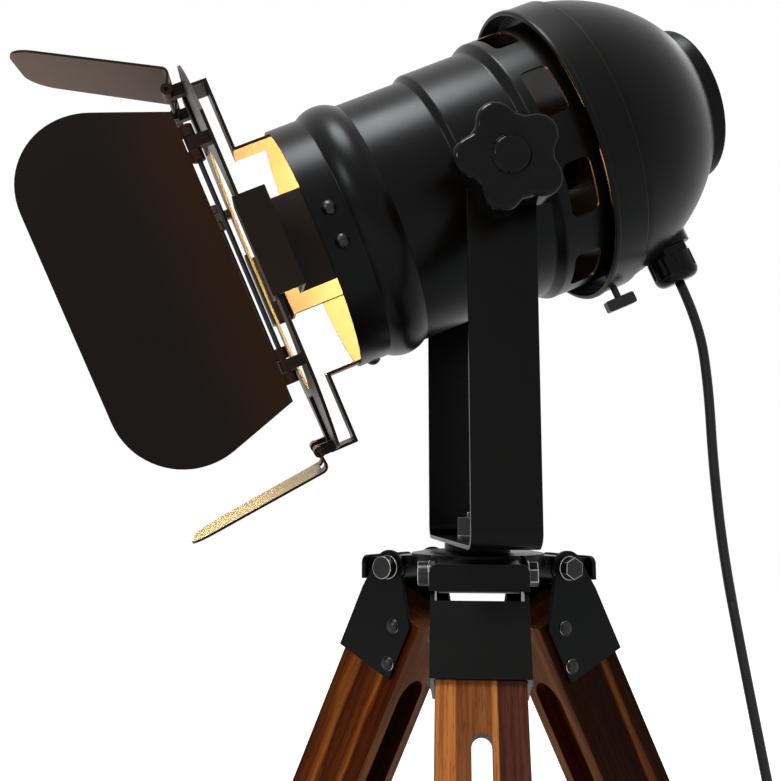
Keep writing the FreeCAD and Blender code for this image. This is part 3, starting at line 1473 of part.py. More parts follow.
faults = []
for thing in doc.Objects:
    if "Invalid" in thing.State or "Error" in thing.State:
        faults.append("%s (%s): %s" % (thing.Name, thing.Label, thing.State))
    if thing.TypeId in ("PartDesign::Pocket", "PartDesign::Groove"):
        if thing.BaseFeature.Shape.Volume - thing.Shape.Volume < 1e-3:
            faults.append("%s of %s cuts nothing" % (thing.Name, thing.getParent().Label))
for label, thing in NODES.items():
    if thing.Shape.isNull() or not thing.Shape.isValid() or not thing.Shape.Solids:
        faults.append(label + " has no valid solid")
if faults:
    raise RuntimeError("; ".join(faults))

os.makedirs("parts", exist_ok=True)
for label, thing in NODES.items():
    thing.Shape.exportStep("parts/%s.step" % label)
print(len(NODES), "nodes written")
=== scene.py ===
import json
import math
import bmesh
import bpy
from mathutils import Matrix, Vector, geometry

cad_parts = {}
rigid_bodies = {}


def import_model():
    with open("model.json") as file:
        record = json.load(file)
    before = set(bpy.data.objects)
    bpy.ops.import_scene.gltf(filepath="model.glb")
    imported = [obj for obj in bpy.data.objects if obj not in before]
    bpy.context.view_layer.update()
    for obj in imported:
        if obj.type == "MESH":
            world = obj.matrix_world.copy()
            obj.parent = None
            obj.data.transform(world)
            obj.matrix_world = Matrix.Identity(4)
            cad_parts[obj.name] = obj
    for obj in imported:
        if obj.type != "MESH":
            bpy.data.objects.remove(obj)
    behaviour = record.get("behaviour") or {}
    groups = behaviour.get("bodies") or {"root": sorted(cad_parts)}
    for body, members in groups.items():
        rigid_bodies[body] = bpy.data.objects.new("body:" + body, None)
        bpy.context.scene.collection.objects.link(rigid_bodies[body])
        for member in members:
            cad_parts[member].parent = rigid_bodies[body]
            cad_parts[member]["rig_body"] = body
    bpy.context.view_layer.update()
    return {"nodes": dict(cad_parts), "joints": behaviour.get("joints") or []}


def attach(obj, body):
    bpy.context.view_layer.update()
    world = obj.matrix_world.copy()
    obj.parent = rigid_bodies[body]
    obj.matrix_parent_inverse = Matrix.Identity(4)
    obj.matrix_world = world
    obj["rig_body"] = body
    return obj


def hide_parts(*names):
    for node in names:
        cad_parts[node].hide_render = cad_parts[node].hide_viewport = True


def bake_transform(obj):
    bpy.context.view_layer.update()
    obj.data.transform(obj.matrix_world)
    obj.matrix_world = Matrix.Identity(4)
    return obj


# Tabletop searchlight with barn doors on a wooden tripod. Metres, except where a name or note says mm.

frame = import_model()
mm = 0.001
joints = {joint["name"]: joint for joint in frame["joints"]}
ends = ("front", "right", "left")
print("stage: frame loaded")


# frames of the moving parts, worked out from the joints

def turned(axis, degrees):
    return Matrix.Rotation(math.radians(degrees), 4, axis)


def spot(x=0.0, y=0.0, z=0.0):  # mm
    return Vector((x, y, z)) * mm


def moved(x=0.0, y=0.0, z=0.0):  # mm
    return Matrix.Translation(spot(x, y, z))


def around(radius, angle):
    return radius * math.cos(angle), radius * math.sin(angle)


stance = {"noseDown": 23.55, "frontTurn": -8.0, "splay": 25.8, "axisLift": 17.6}  # degrees, the lift in mm
leafStance = {"top": {"about": 0, "flare": 28.0}, "near": {"about": -90, "flare": 7.5},
              "bottom": {"about": 180, "flare": 6.0}, "far": {"about": 90, "flare": 7.5}}  # degrees
pivot = Matrix.Translation(Vector(joints["tilt"]["pos_m"]))
headFrame = pivot @ turned("Y", -stance["noseDown"]) @ turned("Z", 180) @ moved(z=stance["axisLift"])
frontFrame = headFrame @ turned("X", stance["frontTurn"])


def legFrame(end):
    joint = joints["leg_fold_" + end]
    across = Vector(joint["axis"])
    facing = math.degrees(math.atan2(-across.x, across.y))
    return Matrix.Translation(Vector(joint["pos_m"])) @ turned("Z", facing) @ turned("Y", -stance["splay"])


def leafFrame(side):  # X out along the leaf, Y along its hinge, Z away from the beam
    c = leafStance[side]
    hinge = Vector(joints["leaf_turn_" + side]["pos_m"])
    turn = (frontFrame @ turned("X", c["about"]) @ turned("Y", -c["flare"])).to_3x3().to_4x4()
    return Matrix.Translation(hinge) @ turn


# shader maths: a value that Python's operators work on

class Field:
    def __init__(self, recipe, socket):
        self.recipe, self.socket = recipe, socket

    def work(self, operation, first, second):
        return self.recipe.node("ShaderNodeMath", {"operation": operation}, {0: first, 1: second})["Value"]

    def __add__(self, other): return self.work("ADD", self, other)
    def __radd__(self, other): return self.work("ADD", other, self)
    def __sub__(self, other): return self.work("SUBTRACT", self, other)
    def __rsub__(self, other): return self.work("SUBTRACT", other, self)
    def __mul__(self, other): return self.work("MULTIPLY", self, other)
    def __rmul__(self, other): return self.work("MULTIPLY", other, self)
    def __truediv__(self, other): return self.work("DIVIDE", self, other)
    def __rtruediv__(self, other): return self.work("DIVIDE", other, self)

    def within(self, low, high):  # 0 at low, 1 at high, smooth between
        settings = {"interpolation_type": "SMOOTHSTEP"}
        return self.recipe.node("ShaderNodeMapRange", settings, {"Value": self, 1: low, 2: high})["Result"]


class Outputs:
    def __init__(self, recipe, made):
        self.recipe, self.made = recipe, made

    def __getitem__(self, name):
        return Field(self.recipe, self.made.outputs[name])


class Recipe:  # the nodes of one material, or of the world
    def __init__(self, name="", slotName=None, world=None, **constants):
        self.slotName = slotName
        if world:
            self.tree = world.node_tree
            return
        self.material = bpy.data.materials.new(name)
        self.material.use_nodes = True
        self.tree = self.material.node_tree
        self.shader = self.tree.nodes["Principled BSDF"]
        self.surface(**constants)

    def put(self, made, sockets):
        for key, value in sockets.items():
            name = key.replace("_", " ") if isinstance(key, str) else key
            target = made.inputs[name]
            if isinstance(value, Field):
                self.tree.links.new(value.socket, target)
            elif isinstance(value, (tuple, list)) and target.type == "RGBA":
                target.default_value = (*value[:3], 1.0)
            else:
                target.default_value = value

    def node(self, kind, settings=None, sockets=None):
        made = self.tree.nodes.new(kind)
        for key, value in (settings or {}).items():
            if key == "stops":
                ramp = made.color_ramp
                while len(ramp.elements) < len(value):
                    ramp.elements.new(0.5)
                for element, (place, colour) in zip(ramp.elements, value):
                    element.position = place
                    element.color = (*colour, 1.0)
            else:
                setattr(made, key, value)
        self.put(made, sockets or {})
        return Outputs(self, made)

    def surface(self, **sockets):
        self.put(self.shader, sockets)

    def place(self):  # a point of the piece, in metres, in its own frame
        return self.node("ShaderNodeTexCoord")["Object"]

    def split(self, vector):
        made = self.node("ShaderNodeSeparateXYZ", sockets={"Vector": vector})
        return made["X"], made["Y"], made["Z"]

    def stretched(self, vector, x, y, z):
        settings = {"vector_type": "POINT"}
        return self.node("ShaderNodeMapping", settings, {"Vector": vector, "Scale": (x, y, z)})["Vector"]

    def noise(self, vector, size, detail, roughness=0.5):  # size in mm
        sockets = {"Vector": vector, "Scale": 1.0 / (size * mm), "Detail": detail, "Roughness": roughness}
        return self.node("ShaderNodeTexNoise", sockets=sockets)["Fac"]

    def mix(self, factor, first, second, blend="MIX"):
        settings = {"data_type": "RGBA", "blend_type": blend}
        return self.node("ShaderNodeMix", settings, {0: factor, 6: first, 7: second})[2]

    def ramp(self, value, stops):
        return self.node("ShaderNodeValToRGB", {"stops": stops}, {"Fac": value})["Color"]

    def bump(self, height, depth, strength):  # depth in mm
        sockets = {"Height": height, "Distance": depth * mm, "Strength": strength}
        return self.node("ShaderNodeBump", sockets=sockets)["Normal"]


# mesh making

easing = {"segments": 2, "sharp": 33.0}  # the bevel of the edges, sharp in degrees
cadMend = {"weld": 2e-6, "flat": 0.6}  # metres and degrees, before a CAD mesh is eased
beamLean = 0.3  # how far a face of the head leans to the beam's axis to be an inner one


def placed(name, data):  # a new object in the scene
    thing = bpy.data.objects.new(name, data)
    bpy.context.scene.collection.objects.link(thing)
    return thing


def settled(piece):  # the modifiers' result becomes the mesh
    bpy.context.view_layer.update()
    seen = piece.evaluated_get(bpy.context.evaluated_depsgraph_get())
    mesh = bpy.data.meshes.new_from_object(seen)
    piece.modifiers.clear()
    piece.data = mesh


def eased(piece, width, rim):  # width in mm, rim is the paint of the eased edges
    bevel = piece.modifiers.new("edges", "BEVEL")
    bevel.width, bevel.segments = width * mm, easing["segments"]
    bevel.limit_method, bevel.angle_limit = "ANGLE", math.radians(easing["sharp"])
    bevel.harden_normals = True
    if rim:
        piece.data.materials.append(rim.material)
        bevel.material = 1
    even = piece.modifiers.new("even", "WEIGHTED_NORMAL")
    even.keep_sharp = True
    settled(piece)


def showing(name, mesh, matrix, paint, body, width=0.0, rim=None):
    piece = placed(name, mesh)
    piece.matrix_world = matrix
    mesh.materials.clear()
    mesh.materials.append(paint.material)
    mesh.shade_smooth()
    if width:
        eased(piece, width, rim)
    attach(piece, body)
    return piece


def lined(piece, paint, inside):  # the faces that inside picks get this paint
    piece.data.materials.append(paint.material)
    for face in piece.data.polygons:
        if inside(face):
            face.material_index = len(piece.data.materials) - 1
    return piece


def facesBeam(face):
    return face.center.yz.dot(face.normal.yz) < -beamLean * face.center.yz.length


def meshOf(name, made):
    bmesh.ops.remove_doubles(made, verts=made.verts, dist=1e-7)
    bmesh.ops.recalc_face_normals(made, faces=made.faces)
    mesh = bpy.data.meshes.new(name)
    made.to_mesh(mesh)
    made.free()
    return mesh


def arc(start, end, radius, steps):  # points between, a positive radius turns left
    first, last = Vector(start), Vector(end)
    chord = last - first
    half = chord.length / 2
    left = Vector((-chord.y, chord.x)) / chord.length
    sign = 1 if radius > 0 else -1
    centre = (first + last) / 2 + left * sign * math.sqrt(max(radius * radius - half * half, 0.0))
    begin = math.atan2(first.y - centre.y, first.x - centre.x)
    sweep = sign * 2 * math.asin(min(half / abs(radius), 1.0))
    turns = [begin + sweep * step / steps for step in range(1, steps)]
    return [(centre.x + abs(radius) * math.cos(a), centre.y + abs(radius) * math.sin(a)) for a in turns]


def softened(outline, steps, radius=0.0, closed=True):  # a point's own third value comes first
    mostOfSide, straight = 0.45, math.radians(178)
    points = [Vector(point[:2]) for point in outline]
    result = []
    for index, point in enumerate(points):
        if not closed and index in (0, len(points) - 1):
            result.append(tuple(point))
            continue
        before, after = points[index - 1], points[(index + 1) % len(points)]
        inward, outward = (before - point), (after - point)
        angle = inward.angle(outward)
        size = outline[index][2] if len(outline[index]) > 2 else radius
        if size <= 0 or angle > straight:
            result.append(tuple(point))
            continue
        reach = min(size / math.tan(angle / 2), mostOfSide * inward.length, mostOfSide * outward.length)
        first, last = point + inward.normalized() * reach, point + outward.normalized() * reach
        real = reach * math.tan(angle / 2)
        way = 1 if inward.cross(outward) < 0 else -1
        result += [tuple(first), *arc(first, last, real * way, steps), tuple(last)]
    return result


def skinned(made, rings, capped=False):  # faces from ring to ring, a ring may be one point
    for first, last in zip(rings, rings[1:]):
        for step in range(max(len(first), len(last))):
            corners = [first[step % len(first)], first[(step + 1) % len(first)],
                       last[(step + 1) % len(last)], last[step % len(last)]]
            corners = list(dict.fromkeys(corners))
            if len(corners) > 2:
                made.faces.new(corners)
    if capped:
        made.faces.new(rings[0][::-1])
        made.faces.new(rings[-1])


def lathe(name, outline, segments):  # closed outline of (along, radius) in mm, about X
    made = bmesh.new()
    rings = []
    for along, radius in outline:
        turns = [2 * math.pi * step / segments for step in range(segments if radius > 1e-6 else 1)]
        pairs = [around(radius, turn) for turn in turns]
        rings.append([made.verts.new(spot(along, across, up)) for up, across in pairs])
    skinned(made, [*rings, rings[0]])
    return meshOf(name, made)


def slab(name, outline, low, high):  # outline in mm, raised from low to high along Z
    made = bmesh.new()
    rings = [[made.verts.new(spot(x, y, z)) for x, y in outline] for z in (low, high)]
    skinned(made, rings, capped=True)
    return meshOf(name, made)


def tube(name, line, radius, sides=16):  # points in metres, radius in mm
    made = bmesh.new()
    side = (line[1] - line[0]).normalized().orthogonal().normalized()
    rings = []
    for index, point in enumerate(line):
        ahead = line[min(index + 1, len(line) - 1)] - line[max(index - 1, 0)]
        ahead.normalize()
        side = (side - ahead * side.dot(ahead)).normalized()
        other = ahead.cross(side)
        pairs = [around(radius * mm, 2 * math.pi * step / sides) for step in range(sides)]
        rings.append([made.verts.new(point + side * out + other * up) for out, up in pairs])
    skinned(made, rings, capped=True)
    return meshOf(name, made)


def joined(name, *parts):  # (mesh, matrix) pairs in one mesh
    made = bmesh.new()
    for mesh, matrix in parts:
        start = len(made.verts)
        made.from_mesh(mesh)
        made.verts.ensure_lookup_table()
        for vert in made.verts[start:]:
            vert.co = matrix @ vert.co
    mesh = bpy.data.meshes.new(name)
    made.to_mesh(mesh)
    made.free()
    return mesh


def carved(name, mesh, cutter):  # mesh less cutter, both in one frame
    body, tool = placed(name, mesh), placed("cutter", cutter)
    hole = body.modifiers.new("hole", "BOOLEAN")
    hole.operation, hole.solver, hole.object = "DIFFERENCE", "EXACT", tool
    settled(body)
    result = body.data
    bpy.data.objects.remove(body)
    bpy.data.objects.remove(tool)
    return result


# a CAD node with eased edges, width in mm, and its points moved by fit before
def dressed(node, paint, width, local=Matrix(), name=None, rim=None, fit=None):
    source = frame["nodes"][node]
    made = bmesh.new()
    made.from_mesh(source.data)
    bmesh.ops.transform(made, matrix=local.inverted(), verts=made.verts)
    bmesh.ops.remove_doubles(made, verts=made.verts, dist=cadMend["weld"])
    flat = math.radians(cadMend["flat"])
    bmesh.ops.dissolve_limit(made, angle_limit=flat, verts=made.verts, edges=made.edges)
    if fit:
        fit(made)
    mesh = meshOf(node, made)
    words = node.split("_")
    name = name or words[0] + "".join(word.title() for word in words[1:])
    piece = showing(name, mesh, local, paint, source["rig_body"], width, rim)
    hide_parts(node)
    return piece


# camera

viewpoint = {"place": (-0.0784, -0.4404, 0.3915), "heading": 0.078, "pitch": 0.128,  # metres and radians
             "focal": 875.2, "width": 780,  # pixels
             "sensor": 36.0, "nearest": 0.01, "furthest": 50.0}  # mm, then metres
cameraData = bpy.data.cameras.new("Camera")
cameraData.sensor_fit, cameraData.sensor_width = "HORIZONTAL", viewpoint["sensor"]
cameraData.lens = viewpoint["focal"] * viewpoint["sensor"] / viewpoint["width"]
cameraData.clip_start, cameraData.clip_end = viewpoint["nearest"], viewpoint["furthest"]
camera = placed("Camera", cameraData)
level = math.cos(viewpoint["pitch"])
north, east = around(level, viewpoint["heading"])
lookWay = Vector((east, north, math.sin(viewpoint["pitch"])))
camera.location = viewpoint["place"]
camera.rotation_euler = lookWay.to_track_quat("-Z", "Y").to_euler()
bpy.context.scene.camera = camera
bpy.context.scene.view_settings.view_transform = "Standard"


# finishes, their sizes in mm

def scaled(colour, times):
    return tuple(value * times for value in colour)


enamelLook = {"shine": 0.09, "shineTint": (0.84, 0.95, 1.0), "cloud": 26, "cloudLift": 1.8,
              "cloudRough": 0.10, "grainRough": 0.06, "smoother": 0.05, "pits": 0.03, "pitStrength": 0.5,
              "scorchFrom": 0.008, "scorchTo": 0.052, "scorchWander": 0.02}  # the painted warm glow, in metres from the hinge


# The default warm brownish black stands in for the bulb's warm light on the lower parts, painted light; the
# shine tint paints the highlights bluish.
def blackEnamel(name, colour=(0.0026, 0.0019, 0.0015), rough=0.27, grain=0.9, hinge=None):
    c = enamelLook
    paint = Recipe(name, "black_enamel", IOR=1.5, Specular_IOR_Level=c["shine"], Specular_Tint=c["shineTint"])
    place = paint.place()
    cloud, fine = paint.noise(place, c["cloud"], 4), paint.noise(place, grain, 2)
    tint = paint.mix(cloud, colour, scaled(colour, c["cloudLift"]))
    if hinge:  # painted warm glow of the bulb's light, strongest along the hinge
        away = cloud * c["scorchWander"] + paint.split(place)[0]
        tint = paint.mix(away.within(c["scorchTo"], c["scorchFrom"]), tint, hinge)
    paint.surface(Base_Color=tint, Normal=paint.bump(fine, c["pits"], c["pitStrength"]),
                  Roughness=cloud * c["cloudRough"] + (rough - c["smoother"]) + fine * c["grainRough"])
    return paint


enamel = blackEnamel("blackEnamel")
# hinge is the colour of the painted warm glow of the bulb's light on the leaves
leafEnamel = blackEnamel("leafEnamel", (0.0050, 0.0028, 0.0020), 0.40, hinge=(0.026, 0.0095, 0.0032))
clipEnamel = blackEnamel("clipEnamel", (0.0100, 0.0052, 0.0034), 0.34)
litEnamel = blackEnamel("litEnamel", (0.080, 0.068, 0.045), 0.40, 5.0)  # what faces the bulb
litLeaf = blackEnamel("litLeaf", (0.090, 0.060, 0.042), 0.45)  # the leaves' inner faces
goldLeaf = blackEnamel("goldLeaf", (0.34, 0.27, 0.16), 0.45, 5.0)  # the lowest leaf's inner face, painted brightest with the bulb's light
paintedShadeBlack = blackEnamel("paintedShadeBlack", (0.0003, 0.0002, 0.0002), 0.22)  # painted shade: a darker copy of the enamel for the inner faces behind the bulb

glossLook = {"shine": 0.09, "dust": 9, "dustLift": 1.6, "dustRough": 0.10,
             "swirl": 1.6, "swirlDepth": 0.02, "swirlStrength": 0.25}


def gloss(name, slotName, colour, rough):
    c = glossLook
    paint = Recipe(name, slotName, IOR=1.5, Specular_IOR_Level=c["shine"])
    place = paint.place()
    dust, swirl = paint.noise(place, c["dust"], 4), paint.noise(place, c["swirl"], 3)
    paint.surface(Base_Color=paint.mix(dust, colour, scaled(colour, c["dustLift"])),
                  Roughness=dust * c["dustRough"] + rough,
                  Normal=paint.bump(swirl, c["swirlDepth"], c["swirlStrength"]))
    return paint


knobPlastic = gloss("knobPlastic", "black_plastic", (0.003, 0.003, 0.0028), 0.07)
darkGlaze = gloss("darkGlaze", "porcelain", (0.0010, 0.0006, 0.0004), 0.2)

rubberLook = {"shine": 0.2, "cloud": 14, "cloudLift": 1.8, "grain": 0.8, "grainRough": 0.10,
              "pits": 0.03, "pitStrength": 0.5}


def rubberSheath(name, slotName, colour, rough):
    c = rubberLook
    paint = Recipe(name, slotName, IOR=1.48, Specular_IOR_Level=c["shine"])
    place = paint.place()
    cloud, fine = paint.noise(place, c["cloud"], 4), paint.noise(place, c["grain"], 2)
    paint.surface(Base_Color=paint.mix(cloud, colour, scaled(colour, c["cloudLift"])),
                  Roughness=fine * c["grainRough"] + rough,
                  Normal=paint.bump(fine, c["pits"], c["pitStrength"]))
    return paint


rubber = rubberSheath("rubber", "rubber", (0.018, 0.018, 0.018), 0.66)
sheath = rubberSheath("cableSheath", "cable_black", (0.009, 0.009, 0.010), 0.42)

steelLook = {"metal": 0.9, "cloud": 1.4, "cloudLift": 1.9, "cloudRough": 0.2}


def oxideSteel(name, colour, rough):
    c = steelLook
    paint = Recipe(name, "black_screw", Metallic=c["metal"], IOR=1.6)
    cloud = paint.noise(paint.place(), c["cloud"], 3)
    tint = paint.mix(cloud, colour, scaled(colour, c["cloudLift"]))
    paint.surface(Base_Color=tint, Roughness=cloud * c["cloudRough"] + rough)
    return paint


blackScrew = oxideSteel("blackScrew", (0.016, 0.016, 0.017), 0.24)
# a paler steel for the rims of screws and bolts, a painted highlight
paintedRimHighlight = oxideSteel("paintedRimHighlight", (0.26, 0.25, 0.24), 0.2)

nickelLook = {"dull": (0.60, 0.58, 0.54), "bright": (0.76, 0.74, 0.70), "stretch": 0.2, "streak": 0.5,
              "rough": 0.16, "streakRough": 0.15}


def platedBrass():
    c = nickelLook
    paint = Recipe("nickel", "nickel", Metallic=1.0)
    fine = paint.noise(paint.stretched(paint.place(), c["stretch"], 1, 1), c["streak"], 3)
    paint.surface(Base_Color=paint.mix(fine, c["dull"], c["bright"]),
                  Roughness=fine * c["streakRough"] + c["rough"])
    return paint


nickel = platedBrass()

bulbLook = {"glass": (0.20, 0.09, 0.03), "rough": 0.25, "glow": 130.0, "length": 78.0, "start": 0.23,
            "warm": [(0.0, (0.05, 0.016, 0.003)), (0.35, (0.22, 0.085, 0.02)),
                     (0.7, (0.9, 0.54, 0.22)), (1.0, (1.0, 0.64, 0.29))]}  # the start as a share of the length


def lampGlass():  # brightest round the filament, at the front
    c = bulbLook
    paint = Recipe("clearGlass", "clear_glass", Roughness=c["rough"], IOR=1.45, Emission_Strength=c["glow"])
    along = paint.split(paint.place())[0] / (c["length"] * mm)
    paint.surface(Base_Color=c["glass"], Emission_Color=paint.ramp(along + c["start"], c["warm"]))
    return paint


glowing = lampGlass()

woodLook = {
    "width": 38.4, "depth": 36.0, "back": -27.7, "middle": 0.5, "shine": 0.03,
    "backTurn": (-0.2, 0.2), "sideTurn": (0.45, 0.6),  # the normals at which the faces blend
    "grains": {"wander": (0.03, 12, 2), "swirl": (0.16, 16, 3), "grain": (0.03, 1.7, 6, 0.65),
               "pores": (0.045, 0.36, 2)},  # stretch along the leg, size, detail, roughness
    "wander": 0.03, "figureSwirl": 0.5, "bandSwirl": 0.2,  # how far each wanders, as shares of the leg
    "staves": [(0.0, (0.37, 0.130, 0.033)), (0.215, (0.41, 0.148, 0.039)), (0.225, (0.170, 0.058, 0.018)),
               (0.60, (0.21, 0.072, 0.023)), (0.615, (0.42, 0.162, 0.045)), (0.665, (0.36, 0.135, 0.036)),
               (0.68, (0.066, 0.021, 0.015)), (1.0, (0.086, 0.028, 0.019))],
    "figured": [(0.0, (0.070, 0.012, 0.0025)), (0.24, (0.085, 0.016, 0.003)), (0.30, (0.38, 0.120, 0.020)),
                (0.36, (0.15, 0.036, 0.006)), (0.55, (0.070, 0.012, 0.0025)), (0.64, (0.36, 0.115, 0.021)),
                (0.74, (0.20, 0.050, 0.009)), (1.0, (0.055, 0.011, 0.003))],
    "banded": [(0.0, (0.034, 0.009, 0.004)), (0.66, (0.026, 0.007, 0.003)), (0.71, (0.26, 0.085, 0.020)),
               (0.77, (0.19, 0.060, 0.015)), (0.81, (0.034, 0.009, 0.004)), (1.0, (0.026, 0.007, 0.003))],
    "backs": [(0.30, (0.16, 0.050, 0.013)), (0.52, (0.30, 0.105, 0.028)), (0.70, (0.40, 0.150, 0.042))],
    "streaks": (0.38, 0.62), "streakTone": (0.56, 0.44, 0.36), "streakShare": 0.85,
    "pits": (0.60, 0.70), "pitTone": (0.30, 0.20, 0.15), "pitShare": 0.8,
    "rough": 0.36, "grainRough": 0.16, "pitRough": 0.12,
    "grainRise": 0.5, "pitDrop": 0.6, "bump": 0.10, "bumpStrength": 0.5,
}


def walnut():  # staves side by side across the leg's face, figured grain on one side, bands on the other
    c = woodLook
    paint = Recipe("walnut", "walnut", IOR=1.45, Specular_IOR_Level=c["shine"])
    place = paint.place()
    x, y = paint.split(place)[:2]
    outward, across = paint.split(paint.node("ShaderNodeTexCoord")["Normal"])[:2]
    wander, swirl, grain, pores = [paint.noise(paint.stretched(place, 1, 1, stretch), *rest)
                                   for stretch, *rest in c["grains"].values()]

    def centred(noise, reach):  # a noise about 0, reach from end to end
        return noise * reach - reach / 2

    staves = paint.ramp(y / (c["width"] * mm) + 0.5 + centred(wander, c["wander"]), c["staves"])
    depth = x / (c["depth"] * mm) - c["back"] / c["depth"]
    figured = paint.ramp(depth + centred(swirl, c["figureSwirl"]), c["figured"])
    banded = paint.ramp(depth + centred(swirl, c["bandSwirl"]), c["banded"])
    faces = paint.mix(outward.within(*c["backTurn"]), paint.ramp(swirl, c["backs"]), staves)
    sides = paint.mix(y.within(-c["middle"] * mm, c["middle"] * mm), banded, figured)
    tint = paint.mix((across * across).within(*c["sideTurn"]), faces, sides)
    streak, pit = grain.within(*c["streaks"]), pores.within(*c["pits"])
    tint = paint.mix(streak * c["streakShare"], tint, c["streakTone"], "MULTIPLY")
    tint = paint.mix(pit * c["pitShare"], tint, c["pitTone"], "MULTIPLY")
    height = grain * c["grainRise"] - pit * c["pitDrop"]
    paint.surface(Base_Color=tint, Normal=paint.bump(height, c["bump"], c["bumpStrength"]),
                  Roughness=grain * c["grainRough"] + c["rough"] + pit * c["pitRough"])
    return paint


wood = walnut()
print("stage: finishes made")


# cord, in three stretches from the gland to the plug

cordSize = {"radius": 2.5, "gland": (-89.5, 0, -88.5),  # mm, the gland's end in the head's frame
            "upper": 0.1681, "lower": 0.4495, "coiled": 0.81, "glandRun": 0.024, "switchRun": 0.018,  # metres
            "switchHeading": -120.0}  # degrees
glandEnd = headFrame @ spot(*cordSize["gland"])
glandWay = -(headFrame.to_3x3() @ Vector((0, 0, 1)))
dropRoute = [glandEnd, glandEnd + glandWay * cordSize["glandRun"], (0.1235, 0, 0.452),
             (0.1245, 0.001, 0.412), (0.128, 0.002, 0.366), (0.131, 0.001, 0.342)]
switchWay = Vector((*around(1.0, math.radians(cordSize["switchHeading"])), 0))
nearSwitch = Vector((0.226, -0.081, 0.007))
switchEnd = nearSwitch + switchWay * cordSize["switchRun"]
switchFrame = Matrix.Translation((switchEnd.x, switchEnd.y, 0)) @ turned("Z", cordSize["switchHeading"])
floorRoute = [(0.131, 0.001, 0.342), (0.134, 0, 0.318), (0.141, -0.002, 0.268), (0.149, -0.002, 0.218),
              (0.156, 0, 0.170), (0.161, 0.002, 0.126), (0.166, 0.001, 0.088), (0.175, -0.002, 0.054),
              (0.190, -0.007, 0.025), (0.212, -0.015, 0.007), (0.233, -0.031, 0.0028),
              (0.238, -0.057, 0.0028), nearSwitch, switchEnd]


def spun(name, route):  # a NURBS spline with the route's points as its control points
    curve = bpy.data.curves.new(name, "CURVE")
    curve.dimensions, curve.resolution_u = "3D", 12
    spline = curve.splines.new("NURBS")
    spline.points.add(len(route) - 1)
    for point, place in zip(spline.points, route):
        point.co = (*place, 1.0)
    spline.order_u = 3
    spline.use_endpoint_u = True
    return curve


def lineOf(route):
    holder = bpy.data.objects.new("route", spun("route", route))
    mesh = bpy.data.meshes.new_from_object(holder)
    line = [vert.co.copy() for vert in mesh.vertices]
    bpy.data.objects.remove(holder)
    return line


def hungCord(name, route, node):  # below the point still it doesn't swing
    line = lineOf(route)
    piece = placed(name, tube(name, line, cordSize["radius"]))
    piece.data.materials.append(sheath.material)
    piece.data.shade_smooth()
    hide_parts(node)
    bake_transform(piece)


hungCord("cordUpper", dropRoute, "cord_upper")
hungCord("cordLower", floorRoute, "cord_lower")

coil = {"outer": 26.5, "inner": 21.5, "low": 2.5, "pitch": 5.0, "lead": 23.0, "straight": 9.0,
        "switch": 62.0, "level": 7.0, "points": 12,  # mm, and points for each turn
        "firstSeam": 290.0, "seamGap": 310.0, "seamWidth": 60.0, "sweep": 1860.0, "exitTurn": -60.0,  # degrees
        "steps": [("outer", 0), ("inner", 0), ("inner", 1), ("inner", 2), ("outer", 2), ("outer", 1)]}
coilFrame = switchFrame @ moved(coil["switch"] + coil["lead"], -coil["outer"])
plugFrame = coilFrame @ turned("Z", coil["exitTurn"]) @ moved(coil["lead"], coil["outer"])
cordStart = switchFrame @ spot(coil["switch"], 0, coil["level"])


def coilPlace(angle):  # the radius and height of the turns, which step over to the next place at each seam
    shares = []
    for index in range(len(coil["steps"]) - 1):
        seam = coil["firstSeam"] + coil["seamGap"] * index
        shares.append(min(max((angle - seam) / coil["seamWidth"] + 0.5, 0.0), 1.0))
    weights = [first - second for first, second in zip([1.0, *shares], [*shares, 0.0])]
    radius = sum(weight * coil[ring] for weight, (ring, layer) in zip(weights, coil["steps"]))
    height = sum(weight * (coil["low"] + coil["pitch"] * layer)
                 for weight, (ring, layer) in zip(weights, coil["steps"]))
    return radius, height


def coilRoute():  # straight from the switch, around and up through the places, straight to the plug
    route = [cordStart, switchFrame @ spot(coil["switch"] + coil["straight"], 0, coil["level"])]
    count = round(coil["sweep"] / 360 * coil["points"])
    for step in range(count + 1):
        angle = coil["sweep"] * step / count
        radius, height = coilPlace(angle)
        route.append(coilFrame @ spot(*around(radius, math.radians(90 - angle)), height))
    return route + [plugFrame @ spot(along, 0, coil["level"]) for along in (-coil["straight"], 0)]


def coiledCord():
    curve = spun("cordCoiled", coilRoute())
    curve.bevel_depth, curve.bevel_resolution = cordSize["radius"] * mm, 4
    curve.use_fill_caps = True
    piece = placed("cordCoiled", curve)
    curve.materials.append(sheath.material)
    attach(piece, "stand")
    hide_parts("cord_coil")
    return piece


cordEdges = {"switch": 0.3, "plug": 0.6, "pins": 0.3}  # mm
coiled = coiledCord()
switchCase = dressed("switch_body", knobPlastic, cordEdges["switch"], switchFrame)
dressed("switch_rocker", knobPlastic, cordEdges["switch"], switchFrame)
plugCase = dressed("plug_body", knobPlastic, cordEdges["plug"], plugFrame)
plugPins = dressed("plug_pins", nickel, cordEdges["pins"], plugFrame)
print("stage: cords laid")


# head, its shapes along the beam's axis

canShape = {"rim": 84.0, "collar": 63.5, "beadFront": 68.0, "beadBack": 48.0, "beadCurve": 17.0,
            "stepFront": 14.0, "stepBack": 11.0, "barrel": 66.0, "ventStepFront": -21.0, "ventStepBack": -25.0,
            "tailRadius": 69.3, "tail": -57.0, "sheet": 1.2, "sheetShift": 0.4,
            "beadEdge": 1.2, "stepEdge": 2.2, "ventStepEdge": 2.5, "easing": 0.28,
            "vents": 9, "ventFront": -29.5, "ventBack": -43.5, "ventHalf": 13.0, "ventCorner": 3.5,
            "cutFrom": 38.1, "cutTo": 90.09, "lit": 5.0, "segments": 192}  # mm


